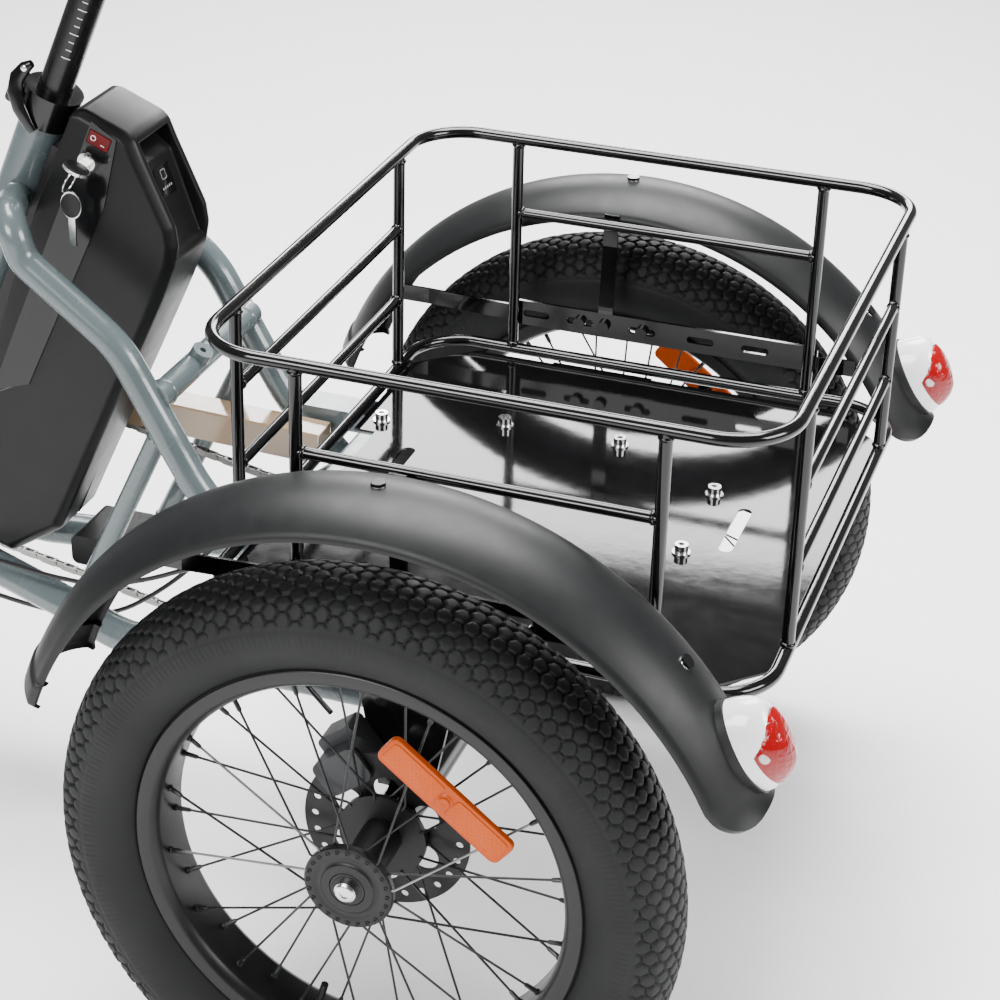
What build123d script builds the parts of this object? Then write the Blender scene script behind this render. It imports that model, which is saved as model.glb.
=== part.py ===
from build123d import *
import os
from math import asin, atan2, cos, hypot, pi, radians, sin, tan

os.makedirs("parts", exist_ok=True)

# An electric adult tricycle with 20 x 4.0 wheels. Millimetres, +X forwards, +Y left, +Z up.
# The origin is on the ground in the middle of the bounding box. Places are written with
# spot(x, y, z), whose x is measured from the rear axle.

# ---- driving dimensions ----
wheel_radius = 292.0
tyre_width = 98.0
rim_radius = 209.5
rim_width = 64.0
wheelbase = 1180.0
track = 790.0
wheel_y = track / 2
tail_reach = 363.25
centre_x = (wheelbase + wheel_radius - tail_reach) / 2

running_gap = 0.05
side_gap = 0.3
axle_radius = 8.5
front_axle_radius = 6.0
flange_offset = 40.0
flange_radius = 42.0
spokes_per_flange = 18
spoke_radius = 1.2
rotor_radius = 80.0
rotor_offset = 49.0
hub_half = 46.0
caliper_in = 17.0
caliper_out = 6.0
reflector_deg = -38.0
reflector_radius = 140.0

fender_radius = 360.0
fender_y = 376.0
fender_half_width = 57.0
fender_side = 24.0
fender_lip = 6.0
fender_centre = (-12.0, 300.0)
fender_front_deg = 19.0
fender_flare_deg = 155.0
fender_flare_turn = 22.0
fender_flare_radius = 62.0
tail_light_deg = 150.0

basket_front = 203.0
basket_back = -322.0
basket_half_width = 300.0
basket_tube = 6.35
basket_post = 6.0
basket_rail = 5.4
basket_top = 717.0
basket_bottom = 474.0
basket_corner = 60.0
end_post_y = 205.0
side_post_front = 104.0
side_post_back = -224.0
side_rail_z = 634.0
end_rail_z = (636.0, 555.0)
floor_bolts = [(177, 91), (177, -91), (54, 129), (54, -129), (-70, 129), (-70, -129), (-187, 62), (-187, -62)]
floor_thickness = 2.5
floor_low = basket_bottom - basket_tube - floor_thickness

seat_axis_x = 482.0
seat_axis_z = 825.0
seat_axis_lean = 22.95
post_radius = 17.0
seat_tube_radius = 24.0
stay_radius = 15.5
low_stay_radius = 18.0
stay_y = 111.0
accessory_hole = 3.4
lock_place = (35.0, 72.0)
switch_place = (8.0, 76.0)
key_barrel = 6.0
pedal_pin = 7.0
arm_y = 79.0
crank_deg = -50.0

crank_x = 681.0
crank_z = 355.0
crank_length = 152.0
chain_y = -72.0
chainring_radius = 105.0
cog_teeth = [14, 16, 18, 20, 22, 24, 28]
cog_in_use = 2
cog_pitch = 5.0
link_pitch = 12.7
jockey_radius = 20.0

steer_lean = 22.0
fork_offset = 43.0
head_low = 375.0
head_high = 550.0


def spot(x, y, z):
    """The point x ahead of the rear axle, y left of the middle and z above the ground."""
    return Vector(x - centre_x, y, z)


def side_view(y):
    """A plane seen from the right: local X is measured from the rear axle, local Y is height."""
    return Plane(origin=spot(0, y, 0), x_dir=(1, 0, 0), z_dir=(0, -1, 0))


def add_tube(points, radius, bends=()):
    """Sweep a round bar along the points into the part that is being built."""
    with BuildLine() as path:
        if len(points) == 2:
            Line(*points)
        else:
            FilletPolyline(*points, radius=bends)
    route = path.wires()[0]
    with BuildSketch(Plane(origin=route @ 0, z_dir=route % 0)) as section:
        Circle(radius)
    sweep(sections=section.sketch, path=route)


def add_disc(plane, radius, height, bore=0.0):
    """Raise a round boss or ring from a plane into the part that is being built."""
    with BuildSketch(plane) as face:
        Circle(radius)
        if bore:
            Circle(bore, mode=Mode.SUBTRACT)
    extrude(face.sketch, amount=height)


def add_box(low, high):
    """Add the box between two opposite corners."""
    middle = (low + high) / 2
    size = high - low
    with Locations(middle):
        Box(size.X, size.Y, size.Z)


def save(part, name):
    """Label a finished piece and write its file."""
    part.label = name
    export_step(part, f"parts/{name}.step")


# ---- wheels, made at the origin and moved to their three places ----
def wheel_point(y, angle, radius):
    """A point of the wheel, at an angle forwards of straight up and at a radius."""
    return Vector(radius * sin(radians(angle)), y, radius * cos(radians(angle)))


half_tyre = tyre_width / 2
half_rim = rim_width / 2

with BuildPart() as tyre:
    with BuildSketch(Plane.YZ):
        with BuildLine():
            ThreePointArc((28, 211), (half_tyre, 246), (39, 279))
            ThreePointArc((39, 279), (0, wheel_radius), (-39, 279))
            ThreePointArc((-39, 279), (-half_tyre, 246), (-28, 211))
            Polyline((-28, 211), (-28.3, 204), (-23, 204), (-24, 212))
            ThreePointArc((-24, 212), (5 - half_tyre, 246), (-35, 274))
            ThreePointArc((-35, 274), (0, wheel_radius - 6), (35, 274))
            ThreePointArc((35, 274), (half_tyre - 5, 246), (24, 212))
            Polyline((24, 212), (23, 204), (28.3, 204), (28, 211))
        make_face()
    revolve(axis=Axis.Y)

with BuildPart() as rim:
    with BuildSketch(Plane.YZ):
        with BuildLine():
            Polyline((-half_rim, rim_radius), (-30, rim_radius), (-29, 203.5), (-20, 203), (-15, 197),
                     (15, 197), (20, 203), (29, 203.5), (30, rim_radius), (half_rim, rim_radius),
                     (31, 198), (22, 191), (-22, 191), (-31, 198), close=True)
        make_face()
    revolve(axis=Axis.Y)

spokes = []
for flange in (1, -1):
    for lead in (1, -1):
        at_hub = 5.0 * (1 - flange) + 10.0 * (1 - lead)
        start = wheel_point(flange * flange_offset + 1.7 * lead, at_hub, flange_radius + 1.4)
        end = wheel_point(flange * 8 + 1.7 * lead, at_hub + 20.0 * lead, 190.2)
        with BuildPart() as spoke:
            with BuildSketch(Plane(origin=start, z_dir=end - start)):
                Circle(spoke_radius)
            extrude(amount=(end - start).length)
            with BuildSketch(Plane(origin=end, z_dir=start - end)):
                Circle(2.3)
            extrude(amount=15)
        spokes += [spoke.part.rotate(Axis.Y, 40.0 * index) for index in range(spokes_per_flange // 2)]


def hub_part(inner, bore):
    """A flanged hub, its rotor spacer and its brake rotor, which is on the side inner points to."""
    with BuildPart() as hub:
        with BuildSketch(Plane.YZ):
            with BuildLine():
                Polyline((-hub_half, bore), (-hub_half, 16), (-42.5, 16), (-42.5, flange_radius),
                         (-37.5, flange_radius), (-37.5, 19), (37.5, 19), (37.5, flange_radius),
                         (42.5, flange_radius), (42.5, 16), (hub_half, 16), (hub_half, bore), close=True)
            make_face()
        revolve(axis=Axis.Y)
    with BuildPart() as rotor:
        with BuildSketch(Plane(origin=(0, inner * rotor_offset, 0), z_dir=(0, inner, 0))):
            Circle(rotor_radius)
            Circle(17, mode=Mode.SUBTRACT)
            with PolarLocations(70, 24):
                Circle(3.5, mode=Mode.SUBTRACT)
            with PolarLocations(43, 6):
                Circle(13, mode=Mode.SUBTRACT)
        extrude(amount=2)
        add_disc(Plane(origin=(0, inner * hub_half, 0), z_dir=(0, inner, 0)), 27, rotor_offset - hub_half, 17)
    with BuildPart() as spacer:
        add_disc(Plane(origin=(0, inner * 42.5, 0), z_dir=(0, inner, 0)), 24, hub_half - 42.5, 16)
    return Compound(children=[hub.part, rotor.part, spacer.part])


def reflector_part(outer):
    """A spoke reflector: a bar with a centre screw, outside the spokes."""
    middle = wheel_point(outer * 33, reflector_deg, reflector_radius)
    along = wheel_point(0, reflector_deg + 90, 1)
    with BuildPart() as reflector:
        with BuildSketch(Plane(origin=middle, x_dir=along, z_dir=(0, outer, 0))):
            RectangleRounded(140, 31, 7)
        extrude(amount=7)
        add_disc(Plane(origin=middle, z_dir=(0, outer, 0)), 6, 9)
    return reflector.part


wheels = {
    "front": (wheelbase, 0.0, 1),
    "rear_left": (0.0, wheel_y, -1),
    "rear_right": (0.0, -wheel_y, 1),
}
for wheel, (x, y, inner) in wheels.items():
    centre = Location(spot(x, y, wheel_radius))
    bore = (front_axle_radius if wheel == "front" else axle_radius) + running_gap
    save(centre * tyre.part, f"tyre_{wheel}")
    save(centre * Compound(children=[rim.part, *spokes]), f"spoked_rim_{wheel}")
    save(centre * hub_part(inner, bore), f"hub_{wheel}")
    save(centre * reflector_part(-inner), f"reflector_{wheel}")


# ---- drive axle, its housings and the plates that carry them ----
with BuildPart() as drive_axle:
    end = wheel_y + hub_half + side_gap
    add_disc(Plane(origin=spot(0, -end, wheel_radius), z_dir=(0, 1, 0)), axle_radius, 2 * end)
    for side in (1, -1):
        add_disc(Plane(origin=spot(0, side * end, wheel_radius), z_dir=(0, side, 0)), 10, 5)
save(drive_axle.part, "drive_axle")

housing_out = 322.0
housing_left_in = 20.0
housing_right_in = 95.0
plate_y = 298.0
axle_housings = []
for side, inner_end in ((1, housing_left_in), (-1, housing_right_in)):
    with BuildPart() as housing:
        start = Plane(origin=spot(0, side * inner_end, wheel_radius), z_dir=(0, side, 0))
        add_disc(start, 21, housing_out - inner_end, 13)
        with BuildSketch(side_view(side * plate_y)):
            with BuildLine():
                Polyline((-26, wheel_radius + 14), (-56, floor_low - 1), (56, floor_low - 1),
                         (26, wheel_radius + 14), close=True)
            make_face()
        extrude(amount=3, both=True)
    axle_housings.append(housing.part)
    for y in (inner_end, housing_out - 12):
        with BuildPart() as bearing:
            add_disc(Plane(origin=spot(0, side * y, wheel_radius), z_dir=(0, side, 0)), 13, 12,
                     axle_radius + running_gap)
        axle_housings.append(bearing.part)
save(Compound(children=axle_housings), "axle_housings")

# ---- rear brake calipers, over the front top edge of each rotor ----
calipers = []
for side in (1, -1):
    rotor_y = side * (wheel_y - rotor_offset - 1)
    grip_point = wheel_point(0, 38, rotor_radius - 12)
    frame_plane = Plane(origin=spot(grip_point.X, rotor_y, wheel_radius + grip_point.Z),
                        x_dir=wheel_point(0, 128, 1), z_dir=(0, 1, 0))
    with BuildPart() as caliper:
        with BuildSketch(frame_plane.offset(-side * caliper_in)):
            RectangleRounded(52, 36, 9)
        extrude(amount=side * (caliper_in + caliper_out))
        with BuildSketch(frame_plane.offset(-2)):
            with Locations((0, 8)):
                Rectangle(60, 44)
        extrude(amount=4, mode=Mode.SUBTRACT)
        with BuildSketch(frame_plane.offset(-side * caliper_in)):
            with Locations((0, -8)):
                RectangleRounded(40, 44, 6)
        extrude(amount=-side * (rotor_y * side - caliper_in - plate_y - 3))
        split(bisect_by=Plane(origin=spot(0, side * (plate_y + 3), 0), z_dir=(0, side, 0)), keep=Keep.TOP)
    calipers.append(caliper.part)
save(Compound(children=calipers), "rear_calipers")


# ---- rear fenders: a domed section swept over the wheel, flared at the tail ----
def fender_section(plane, half_width, depth, wall):
    """The domed cross-section of a fender, drawn with local Y towards the wheel."""
    inner = half_width - wall
    with BuildSketch(plane) as section:
        with BuildLine():
            ThreePointArc((-half_width, depth), (0, 0), (half_width, depth))
            Polyline((half_width, depth), (half_width, depth + fender_lip), (inner, depth + fender_lip),
                     (inner, depth + 2))
            ThreePointArc((inner, depth + 2), (0, wall), (-inner, depth + 2))
            Polyline((-inner, depth + 2), (-inner, depth + fender_lip), (-half_width, depth + fender_lip),
                     (-half_width, depth))
        make_face()
    return section.sketch


def fender_part(x, y, z, radius, half_width, first_deg, last_deg, flare_deg=0.0):
    """A fender round the point (x, y, z) with a rolled cap at its first end."""
    flat = Plane(origin=spot(x, y, z), x_dir=(1, 0, 0), z_dir=(0, -1, 0))
    with BuildPart() as fender:
        with BuildLine(flat) as crown:
            body = CenterArc((0, 0), radius, first_deg, last_deg - first_deg)
            if flare_deg:
                JernArc(start=body @ 1, tangent=body % 1, radius=fender_flare_radius, arc_size=-flare_deg)
        route = crown.wires()[0]
        start = Plane(origin=route @ 0, x_dir=(0, 1, 0), z_dir=route % 0)
        sweep(sections=fender_section(start, half_width, fender_side, 3), path=route)
        with BuildLine(flat) as rim_line:
            CenterArc((0, 0), radius + 2, first_deg - 1, 5)
        edge = rim_line.wires()[0]
        start = Plane(origin=edge @ 0, x_dir=(0, 1, 0), z_dir=edge % 0)
        sweep(sections=fender_section(start, half_width + 2, fender_side, 6), path=edge)
    return fender.part


for side, name in ((1, "left"), (-1, "right")):
    save(fender_part(fender_centre[0], side * fender_y, fender_centre[1], fender_radius, fender_half_width,
                     fender_front_deg, fender_flare_deg, fender_flare_turn), f"fender_rear_{name}")


def crown_plane(x, y, z, radius, angle):
    """The plane that lies on a fender's crown, with local Z away from the wheel."""
    out = Vector(cos(radians(angle)), 0, sin(radians(angle)))
    return Plane(origin=spot(x, y, z) + out * radius, x_dir=(0, 1, 0), z_dir=out)


# ---- slotted bars beside the basket, and the straps that hold the fenders ----
bar_y = basket_half_width + basket_post + 0.3
bar_z = 515.0
strap_y = fender_y - fender_half_width - 0.2


def fender_low_point(angle):
    """The lower edge of a rear fender at an angle up from straight ahead."""
    radius = fender_radius - fender_side - 2
    return (fender_centre[0] + radius * cos(radians(angle)), fender_centre[1] + radius * sin(radians(angle)))


stays = []
slot_places = (-165, -105, -40, 30, 80)
for side in (1, -1):
    with BuildPart() as bar:
        with BuildSketch(side_view(side * bar_y)):
            with Locations(((side_post_front + side_post_back) / 2, bar_z)):
                RectangleRounded(side_post_front - side_post_back + 16, 28, 5)
            with Locations(*[(x, bar_z) for x in slot_places]):
                SlotOverall(30, 8, mode=Mode.SUBTRACT)
        extrude(amount=-side * 4)
    stays.append(bar.part)
    top_x, top_z = fender_low_point(88)
    with BuildPart() as upright_strap:
        with BuildSketch(Plane(origin=spot(-5, 0, 0), x_dir=(0, 1, 0), z_dir=(1, 0, 0))):
            with BuildLine():
                Polyline((side * (bar_y + 4), bar_z - 12), (side * (bar_y + 4), bar_z + 20),
                         (side * (strap_y - 3), top_z - 30), (side * (strap_y - 3), top_z + 6),
                         (side * strap_y, top_z + 6), (side * strap_y, top_z - 30),
                         (side * (bar_y + 7), bar_z + 19), (side * (bar_y + 7), bar_z - 12), close=True)
            make_face()
        extrude(amount=16)
    stays.append(upright_strap.part)
    for angle, post_x in ((40, side_post_front), (141, side_post_back)):
        low_x, low_z = fender_low_point(angle)
        bend_x = post_x + 0.2 * (low_x - post_x)
        flat_x = post_x + 0.75 * (low_x - post_x)
        with BuildPart() as strap:
            with BuildSketch(Plane(origin=spot(0, 0, low_z - 12))):
                with BuildLine():
                    Polyline((post_x, side * (bar_y + 4)), (bend_x, side * (bar_y + 4)),
                             (flat_x, side * (strap_y - 3)), (low_x, side * (strap_y - 3)),
                             (low_x, side * strap_y), (flat_x, side * strap_y),
                             (bend_x, side * (bar_y + 7)), (post_x, side * (bar_y + 7)), close=True)
                make_face()
            extrude(amount=18)
        stays.append(strap.part)
save(Compound(children=stays), "fender_stays")

# ---- fender screws, on the crowns and on the slotted bars ----
fender_bolts = []
for side in (1, -1):
    for angle in (88.5, 136):
        on_crown = crown_plane(fender_centre[0], side * fender_y, fender_centre[1], fender_radius, angle)
        with BuildPart() as bolt:
            add_disc(on_crown, 6.5, 3.5)
        fender_bolts.append(bolt.part)
    for x in (-40, 30, -5 + 8):
        with BuildPart() as bolt:
            add_disc(Plane(origin=spot(x, side * bar_y, bar_z), z_dir=(0, -side, 0)), 6.5, 6, 0)
        fender_bolts.append(bolt.part)
save(Compound(children=fender_bolts), "fender_bolts")

# ---- basket: two rings, posts and rails, welded into one ----
with BuildPart() as basket:
    for z in (basket_top, basket_bottom):
        for side in (1, -1):
            add_tube([spot(basket_front, 0, z), spot(basket_front, side * basket_half_width, z),
                      spot(basket_back, side * basket_half_width, z), spot(basket_back, 0, z)],
                     basket_tube, basket_corner)
    for side in (1, -1):
        for x, y in ((basket_front, end_post_y), (basket_back, end_post_y),
                     (side_post_front, basket_half_width), (side_post_back, basket_half_width)):
            add_tube([spot(x, side * y, basket_bottom), spot(x, side * y, basket_top)], basket_post)
    for side in (1, -1):
        add_tube([spot(side_post_front, side * basket_half_width, side_rail_z),
                  spot(side_post_back, side * basket_half_width, side_rail_z)], basket_rail)
    for x in (basket_front, basket_back):
        for z in end_rail_z:
            add_tube([spot(x, end_post_y, z), spot(x, -end_post_y, z)], basket_rail)
save(basket.part, "basket_frame")

# ---- basket floor: a sheet with clipped corners and a notch in its front edge ----
floor_front = basket_front - 6
floor_back = basket_back + 8
floor_half = basket_half_width - 10
with BuildPart() as basket_floor:
    with BuildSketch(Plane(origin=spot(0, 0, floor_low))) as sheet:
        with Locations(((floor_front + floor_back) / 2, 0)):
            Rectangle(floor_front - floor_back, 2 * floor_half)
        chamfer(sheet.vertices(), 55)
        with Locations((floor_front - 8, 0)):
            Rectangle(30, 130, mode=Mode.SUBTRACT)
        with Locations(*floor_bolts):
            Circle(4.3, mode=Mode.SUBTRACT)
        with Locations((floor_front - 70, 0), (floor_back + 90, 0)):
            SlotOverall(90, 14, rotation=90, mode=Mode.SUBTRACT)
    extrude(amount=floor_thickness)
save(basket_floor.part, "basket_floor")

bolts = []
for x, y in floor_bolts:
    with BuildPart() as bolt:
        top = Plane(origin=spot(x, y, floor_low + floor_thickness))
        add_disc(top, 9, 1.6, 4.0)
        add_disc(top, 4.0, 1.6)
        add_disc(top.offset(1.6), 6.5, 8)
        with BuildSketch(top.offset(9.6)):
            RegularPolygon(3.4, 6)
        extrude(amount=-5, mode=Mode.SUBTRACT)
        add_disc(top, 4.0, -floor_thickness - 10)
    bolts.append(bolt.part)
save(Compound(children=bolts), "basket_bolts")

# ---- tail lights: a base, a pointed housing and a red lens on each rear fender ----
housings = []
lenses = []
for side in (1, -1):
    foot = crown_plane(fender_centre[0], side * fender_y, fender_centre[1], fender_radius + 0.2, tail_light_deg)
    with BuildPart() as light:
        with BuildSketch(foot):
            Ellipse(26, 46)
        with BuildSketch(foot.offset(12)):
            Ellipse(23, 42)
        loft()
        with BuildSketch(foot.offset(12)):
            Ellipse(23, 42)
        with BuildSketch(foot.offset(35)):
            with Locations((0, -8)):
                Ellipse(15, 26)
        loft()
        with BuildSketch(foot.offset(15)):
            with Locations((0, -30)):
                Rectangle(80, 60)
        extrude(amount=60, mode=Mode.SUBTRACT)
    housings.append(light.part)
    with BuildPart() as lens:
        with BuildSketch(foot.offset(15.2)):
            Ellipse(21, 39)
        with BuildSketch(foot.offset(37)):
            with Locations((0, -8)):
                Ellipse(14, 25)
        loft()
        with BuildSketch(foot.offset(15.2)):
            with Locations((0, 29.8)):
                Rectangle(80, 60)
        extrude(amount=60, mode=Mode.SUBTRACT)
    lenses.append(lens.part)
save(Compound(children=housings), "tail_light_housings")
save(Compound(children=lenses), "tail_light_lenses")


# ---- directions of the seat tube and of the steering head ----
seat_down = Vector(sin(radians(seat_axis_lean)), 0, -cos(radians(seat_axis_lean)))
seat_back = Vector(-cos(radians(seat_axis_lean)), 0, -sin(radians(seat_axis_lean)))
seat_top = spot(seat_axis_x, 0, seat_axis_z)
steer_up = Vector(-sin(radians(steer_lean)), 0, cos(radians(steer_lean)))
steer_foot = spot(wheelbase - fork_offset, 0, wheel_radius)


def seat_spot(down, back, y=0.0):
    """A point by its distance down the seat tube, behind its axis and left of it."""
    return seat_top + seat_down * down + seat_back * back + Vector(0, y, 0)


def seat_plane(y):
    """The side view of the seat tube: local X runs down the tube, local Y runs behind it."""
    return Plane(origin=seat_spot(0, 0, y), x_dir=seat_down, z_dir=(0, 1, 0))


def steer_spot(up, ahead=0.0, y=0.0):
    """A point by its distance up the steering axis, ahead of it and left of it."""
    forward = Vector(cos(radians(steer_lean)), 0, sin(radians(steer_lean)))
    return steer_foot + steer_up * up + forward * ahead + Vector(0, y, 0)


clamp_down = 29.0
bracket = spot(crank_x, 0, crank_z)
seat_tube_length = (bracket - seat_top).length
bracket_radius = 24.0
head_radius = 22.0

# ---- main frame: seat tube, crank shell, step-through tubes and head tube ----
with BuildPart() as main_frame:
    add_disc(Plane(origin=seat_spot(clamp_down - 15, 0), z_dir=seat_down), seat_tube_radius,
             seat_tube_length + 15 - clamp_down)
    add_disc(Plane(origin=bracket - Vector(0, 36, 0), z_dir=(0, 1, 0)), bracket_radius, 72)
    add_disc(Plane(origin=steer_spot(head_low), z_dir=steer_up), head_radius, head_high - head_low)
    add_tube([steer_spot(head_low + 110), spot(815, 0, 405), bracket], 25, 120)
    add_tube([steer_spot(head_low + 50), spot(835, 0, 470), spot(636, 0, 462)], 19, 100)
    with BuildSketch(Plane(origin=seat_spot(clamp_down - 15, 0), z_dir=seat_down)):
        Circle(post_radius + running_gap)
    extrude(amount=320, mode=Mode.SUBTRACT)
    with BuildSketch(Plane(origin=steer_spot(head_low), z_dir=steer_up)):
        Circle(17)
    extrude(amount=head_high - head_low, mode=Mode.SUBTRACT)
    with BuildSketch(Plane(origin=bracket - Vector(0, 36, 0), z_dir=(0, 1, 0))):
        Circle(17)
    extrude(amount=72, mode=Mode.SUBTRACT)
save(main_frame.part, "main_frame")

# ---- rear frame: twin stays round the battery, chain stays, struts and floor rails ----
rail_y = 118.0
rail_top = floor_low
rail_height = 22.0
with BuildPart() as rear_frame:
    for side in (1, -1):
        add_tube([spot(525, side * 26, 705), spot(484, side * stay_y, 724), spot(470, side * stay_y, 680),
                  spot(372, side * stay_y, 606), spot(290, side * stay_y, 462), spot(196, side * stay_y, 372),
                  spot(14, side * stay_y, wheel_radius + 22)],
                 stay_radius, [24, 30, 110, 160, 110])
        add_tube([spot(676, side * 22, 336), spot(642, side * 32, 297), spot(552, side * 52, 284),
                  spot(466, side * 78, 277), spot(383, side * stay_y, 273),
                  spot(14, side * stay_y, wheel_radius - 20)],
                 low_stay_radius, [36, 120, 150, 120])
        add_tube([spot(326, side * stay_y, 530), spot(446, side * 100, 277)], 10.5)
        add_box(spot(-205, side * rail_y - 18, rail_top - rail_height), spot(286, side * rail_y + 18, rail_top))
        add_box(spot(-30, side * rail_y - 4, wheel_radius + 12), spot(30, side * rail_y + 4, rail_top - 2))
    add_tube([spot(333, -stay_y, 556), spot(333, stay_y, 556)], 13)
    for x in (177, -187):
        add_box(spot(x - 14, -rail_y, rail_top - rail_height), spot(x + 14, rail_y, rail_top))
    add_disc(Plane(origin=spot(333, 25, 556), z_dir=(-0.5, 0, 0.866)), 11, 20)
    with BuildSketch(Plane(origin=spot(333, 25, 556), z_dir=(-0.5, 0, 0.866))):
        Circle(accessory_hole)
    extrude(amount=20, mode=Mode.SUBTRACT)
    with Locations(*[spot(x, y, rail_top - rail_height) for x, y in floor_bolts]):
        Cylinder(4.3, 60, mode=Mode.SUBTRACT)
    with BuildSketch(Plane(origin=seat_spot(-60, 0), z_dir=seat_down)):
        Circle(seat_tube_radius)
    extrude(amount=250, mode=Mode.SUBTRACT)
    with BuildSketch(Plane(origin=bracket - Vector(0, 60, 0), z_dir=(0, 1, 0))):
        Circle(bracket_radius)
    extrude(amount=120, mode=Mode.SUBTRACT)
    with BuildSketch(Plane(origin=spot(0, -200, wheel_radius), z_dir=(0, 1, 0))):
        Circle(21)
    extrude(amount=400, mode=Mode.SUBTRACT)
save(rear_frame.part, "rear_frame")

# ---- seat post, clamp with its cam lever, and saddle ----
with BuildPart() as seat_post:
    add_disc(Plane(origin=seat_spot(230, 0), z_dir=-seat_down), post_radius, 400)
save(seat_post.part, "seat_post")

ear_ahead = 35.0
pivot_y = 31.0
with BuildPart() as seat_clamp:
    add_disc(Plane(origin=seat_spot(clamp_down + 15, 0), z_dir=-seat_down), seat_tube_radius + 5.5, 30,
             seat_tube_radius)
    add_disc(Plane(origin=seat_spot(clamp_down - 15, 0), z_dir=-seat_down), seat_tube_radius + 5.5, 4,
             post_radius + 0.3)
    for side in (1, -1):
        with BuildSketch(seat_plane(side * 4)):
            with Locations((clamp_down, -ear_ahead + 2)):
                RectangleRounded(26, 18, 4)
        extrude(amount=side * 8)
    add_disc(Plane(origin=seat_spot(clamp_down, -ear_ahead, -20), z_dir=(0, 1, 0)), 3, 11 + pivot_y)
    add_disc(Plane(origin=seat_spot(clamp_down, -ear_ahead, -20), z_dir=(0, 1, 0)), 8, 8)
save(seat_clamp.part, "seat_clamp")

with BuildPart() as clamp_lever:
    with BuildSketch(Plane(origin=seat_spot(clamp_down, -ear_ahead - 6), z_dir=seat_back, x_dir=(0, 1, 0))):
        with BuildLine():
            Polyline((pivot_y - 6.2, -2), (pivot_y - 3.5, -5.4), (pivot_y + 1, -6.4), (pivot_y + 5, -4),
                     (pivot_y + 8, 4), (pivot_y + 7, 54), (pivot_y + 1, 58), (pivot_y + 2, 6),
                     (pivot_y - 6.2, 4), close=True)
        make_face()
    extrude(amount=24)
save(clamp_lever.part, "seat_clamp_lever")

saddle_x = seat_spot(-150, 0).X + centre_x
saddle_z = seat_spot(-150, 0).Z
with BuildPart() as saddle_base:
    for side in (1, -1):
        add_tube([spot(saddle_x - 95, side * 34, saddle_z + 37), spot(saddle_x - 60, side * 23, saddle_z + 21),
                  spot(saddle_x + 55, side * 23, saddle_z + 21), spot(saddle_x + 125, side * 14, saddle_z + 37)],
                 3.5, [30, 40])
    add_box(spot(saddle_x - 24, -32, saddle_z + 14), spot(saddle_x + 30, 32, saddle_z + 29))
    with BuildSketch(Plane(origin=spot(saddle_x, 0, saddle_z + 38))):
        with Locations((-62, 0)):
            RectangleRounded(110, 210, 45)
        with Locations((40, 0)):
            Trapezoid(190, 190, 70, 110, rotation=-90)
    extrude(amount=6)
    with BuildSketch(Plane(origin=seat_spot(0, 0), z_dir=-seat_down)):
        Circle(post_radius)
    extrude(amount=300, mode=Mode.SUBTRACT)
save(saddle_base.part, "saddle_base")

cushion_low = saddle_z + 44
with BuildPart() as cushion:
    with BuildSketch(Plane(origin=spot(saddle_x, 0, cushion_low))):
        with Locations((-62, 0)):
            RectangleRounded(130, 240, 55)
        with Locations((50, 0)):
            Trapezoid(210, 190, 72, 110, rotation=-90)
    extrude(amount=62)
    fillet(cushion.faces().sort_by(Axis.Z)[-1].edges(), 22)
save(cushion.part, "saddle_cushion")

# ---- battery: the bevelled case with its side panel, lock, switch and keys ----
battery_half = 46.5
battery_front = 60.0
with BuildPart() as battery_case:
    with BuildSketch(seat_plane(0)):
        with BuildLine():
            Polyline((-29, battery_front), (-25, 112), (46, 184), (84, 192), (130, 184), (448, 182),
                     (508, 142), (516, battery_front), close=True)
        make_face()
    extrude(amount=battery_half, both=True)
    outline = battery_case.faces().filter_by(Axis.Y)
    chamfer([edge for face in outline for edge in face.edges()
             if (edge.center() - seat_top).dot(seat_back) > battery_front + 5], 14)
    with BuildSketch(seat_plane(0)):
        with BuildLine():
            Polyline((-2, 150), (0, 120), (60, 128), (110, 168), (110, 200), (46, 200), close=True)
        make_face()
    extrude(amount=24, both=True, mode=Mode.SUBTRACT)
    with BuildSketch(seat_plane(battery_half)):
        with Locations(switch_place):
            RectangleRounded(15.6, 24.6, 1.5)
    extrude(amount=-9, mode=Mode.SUBTRACT)
    with BuildSketch(seat_plane(battery_half)):
        with Locations(lock_place):
            Circle(9.5)
    extrude(amount=-14, mode=Mode.SUBTRACT)
save(battery_case.part, "battery_case")

with BuildPart() as battery_panel:
    with BuildSketch(seat_plane(battery_half + 0.1)):
        with BuildLine():
            Polyline((-6, 62), (-2, 92), (70, 104), (300, 96), (330, 62), close=True)
        make_face()
        with Locations(switch_place):
            RectangleRounded(15.6, 24.6, 1.5, mode=Mode.SUBTRACT)
        with Locations(lock_place):
            Circle(9.5, mode=Mode.SUBTRACT)
    extrude(amount=1.6)
save(battery_panel.part, "battery_panel")

panel_top = battery_half + 1.7
with BuildPart() as battery_lock:
    with BuildSketch(seat_plane(battery_half - 13)):
        with Locations(lock_place):
            Circle(9.4)
    extrude(amount=13 + 3.2)
    with BuildSketch(seat_plane(battery_half + 3.2)):
        with Locations(lock_place):
            Circle(key_barrel + running_gap)
    extrude(amount=-15, mode=Mode.SUBTRACT)
save(battery_lock.part, "battery_lock")

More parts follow.
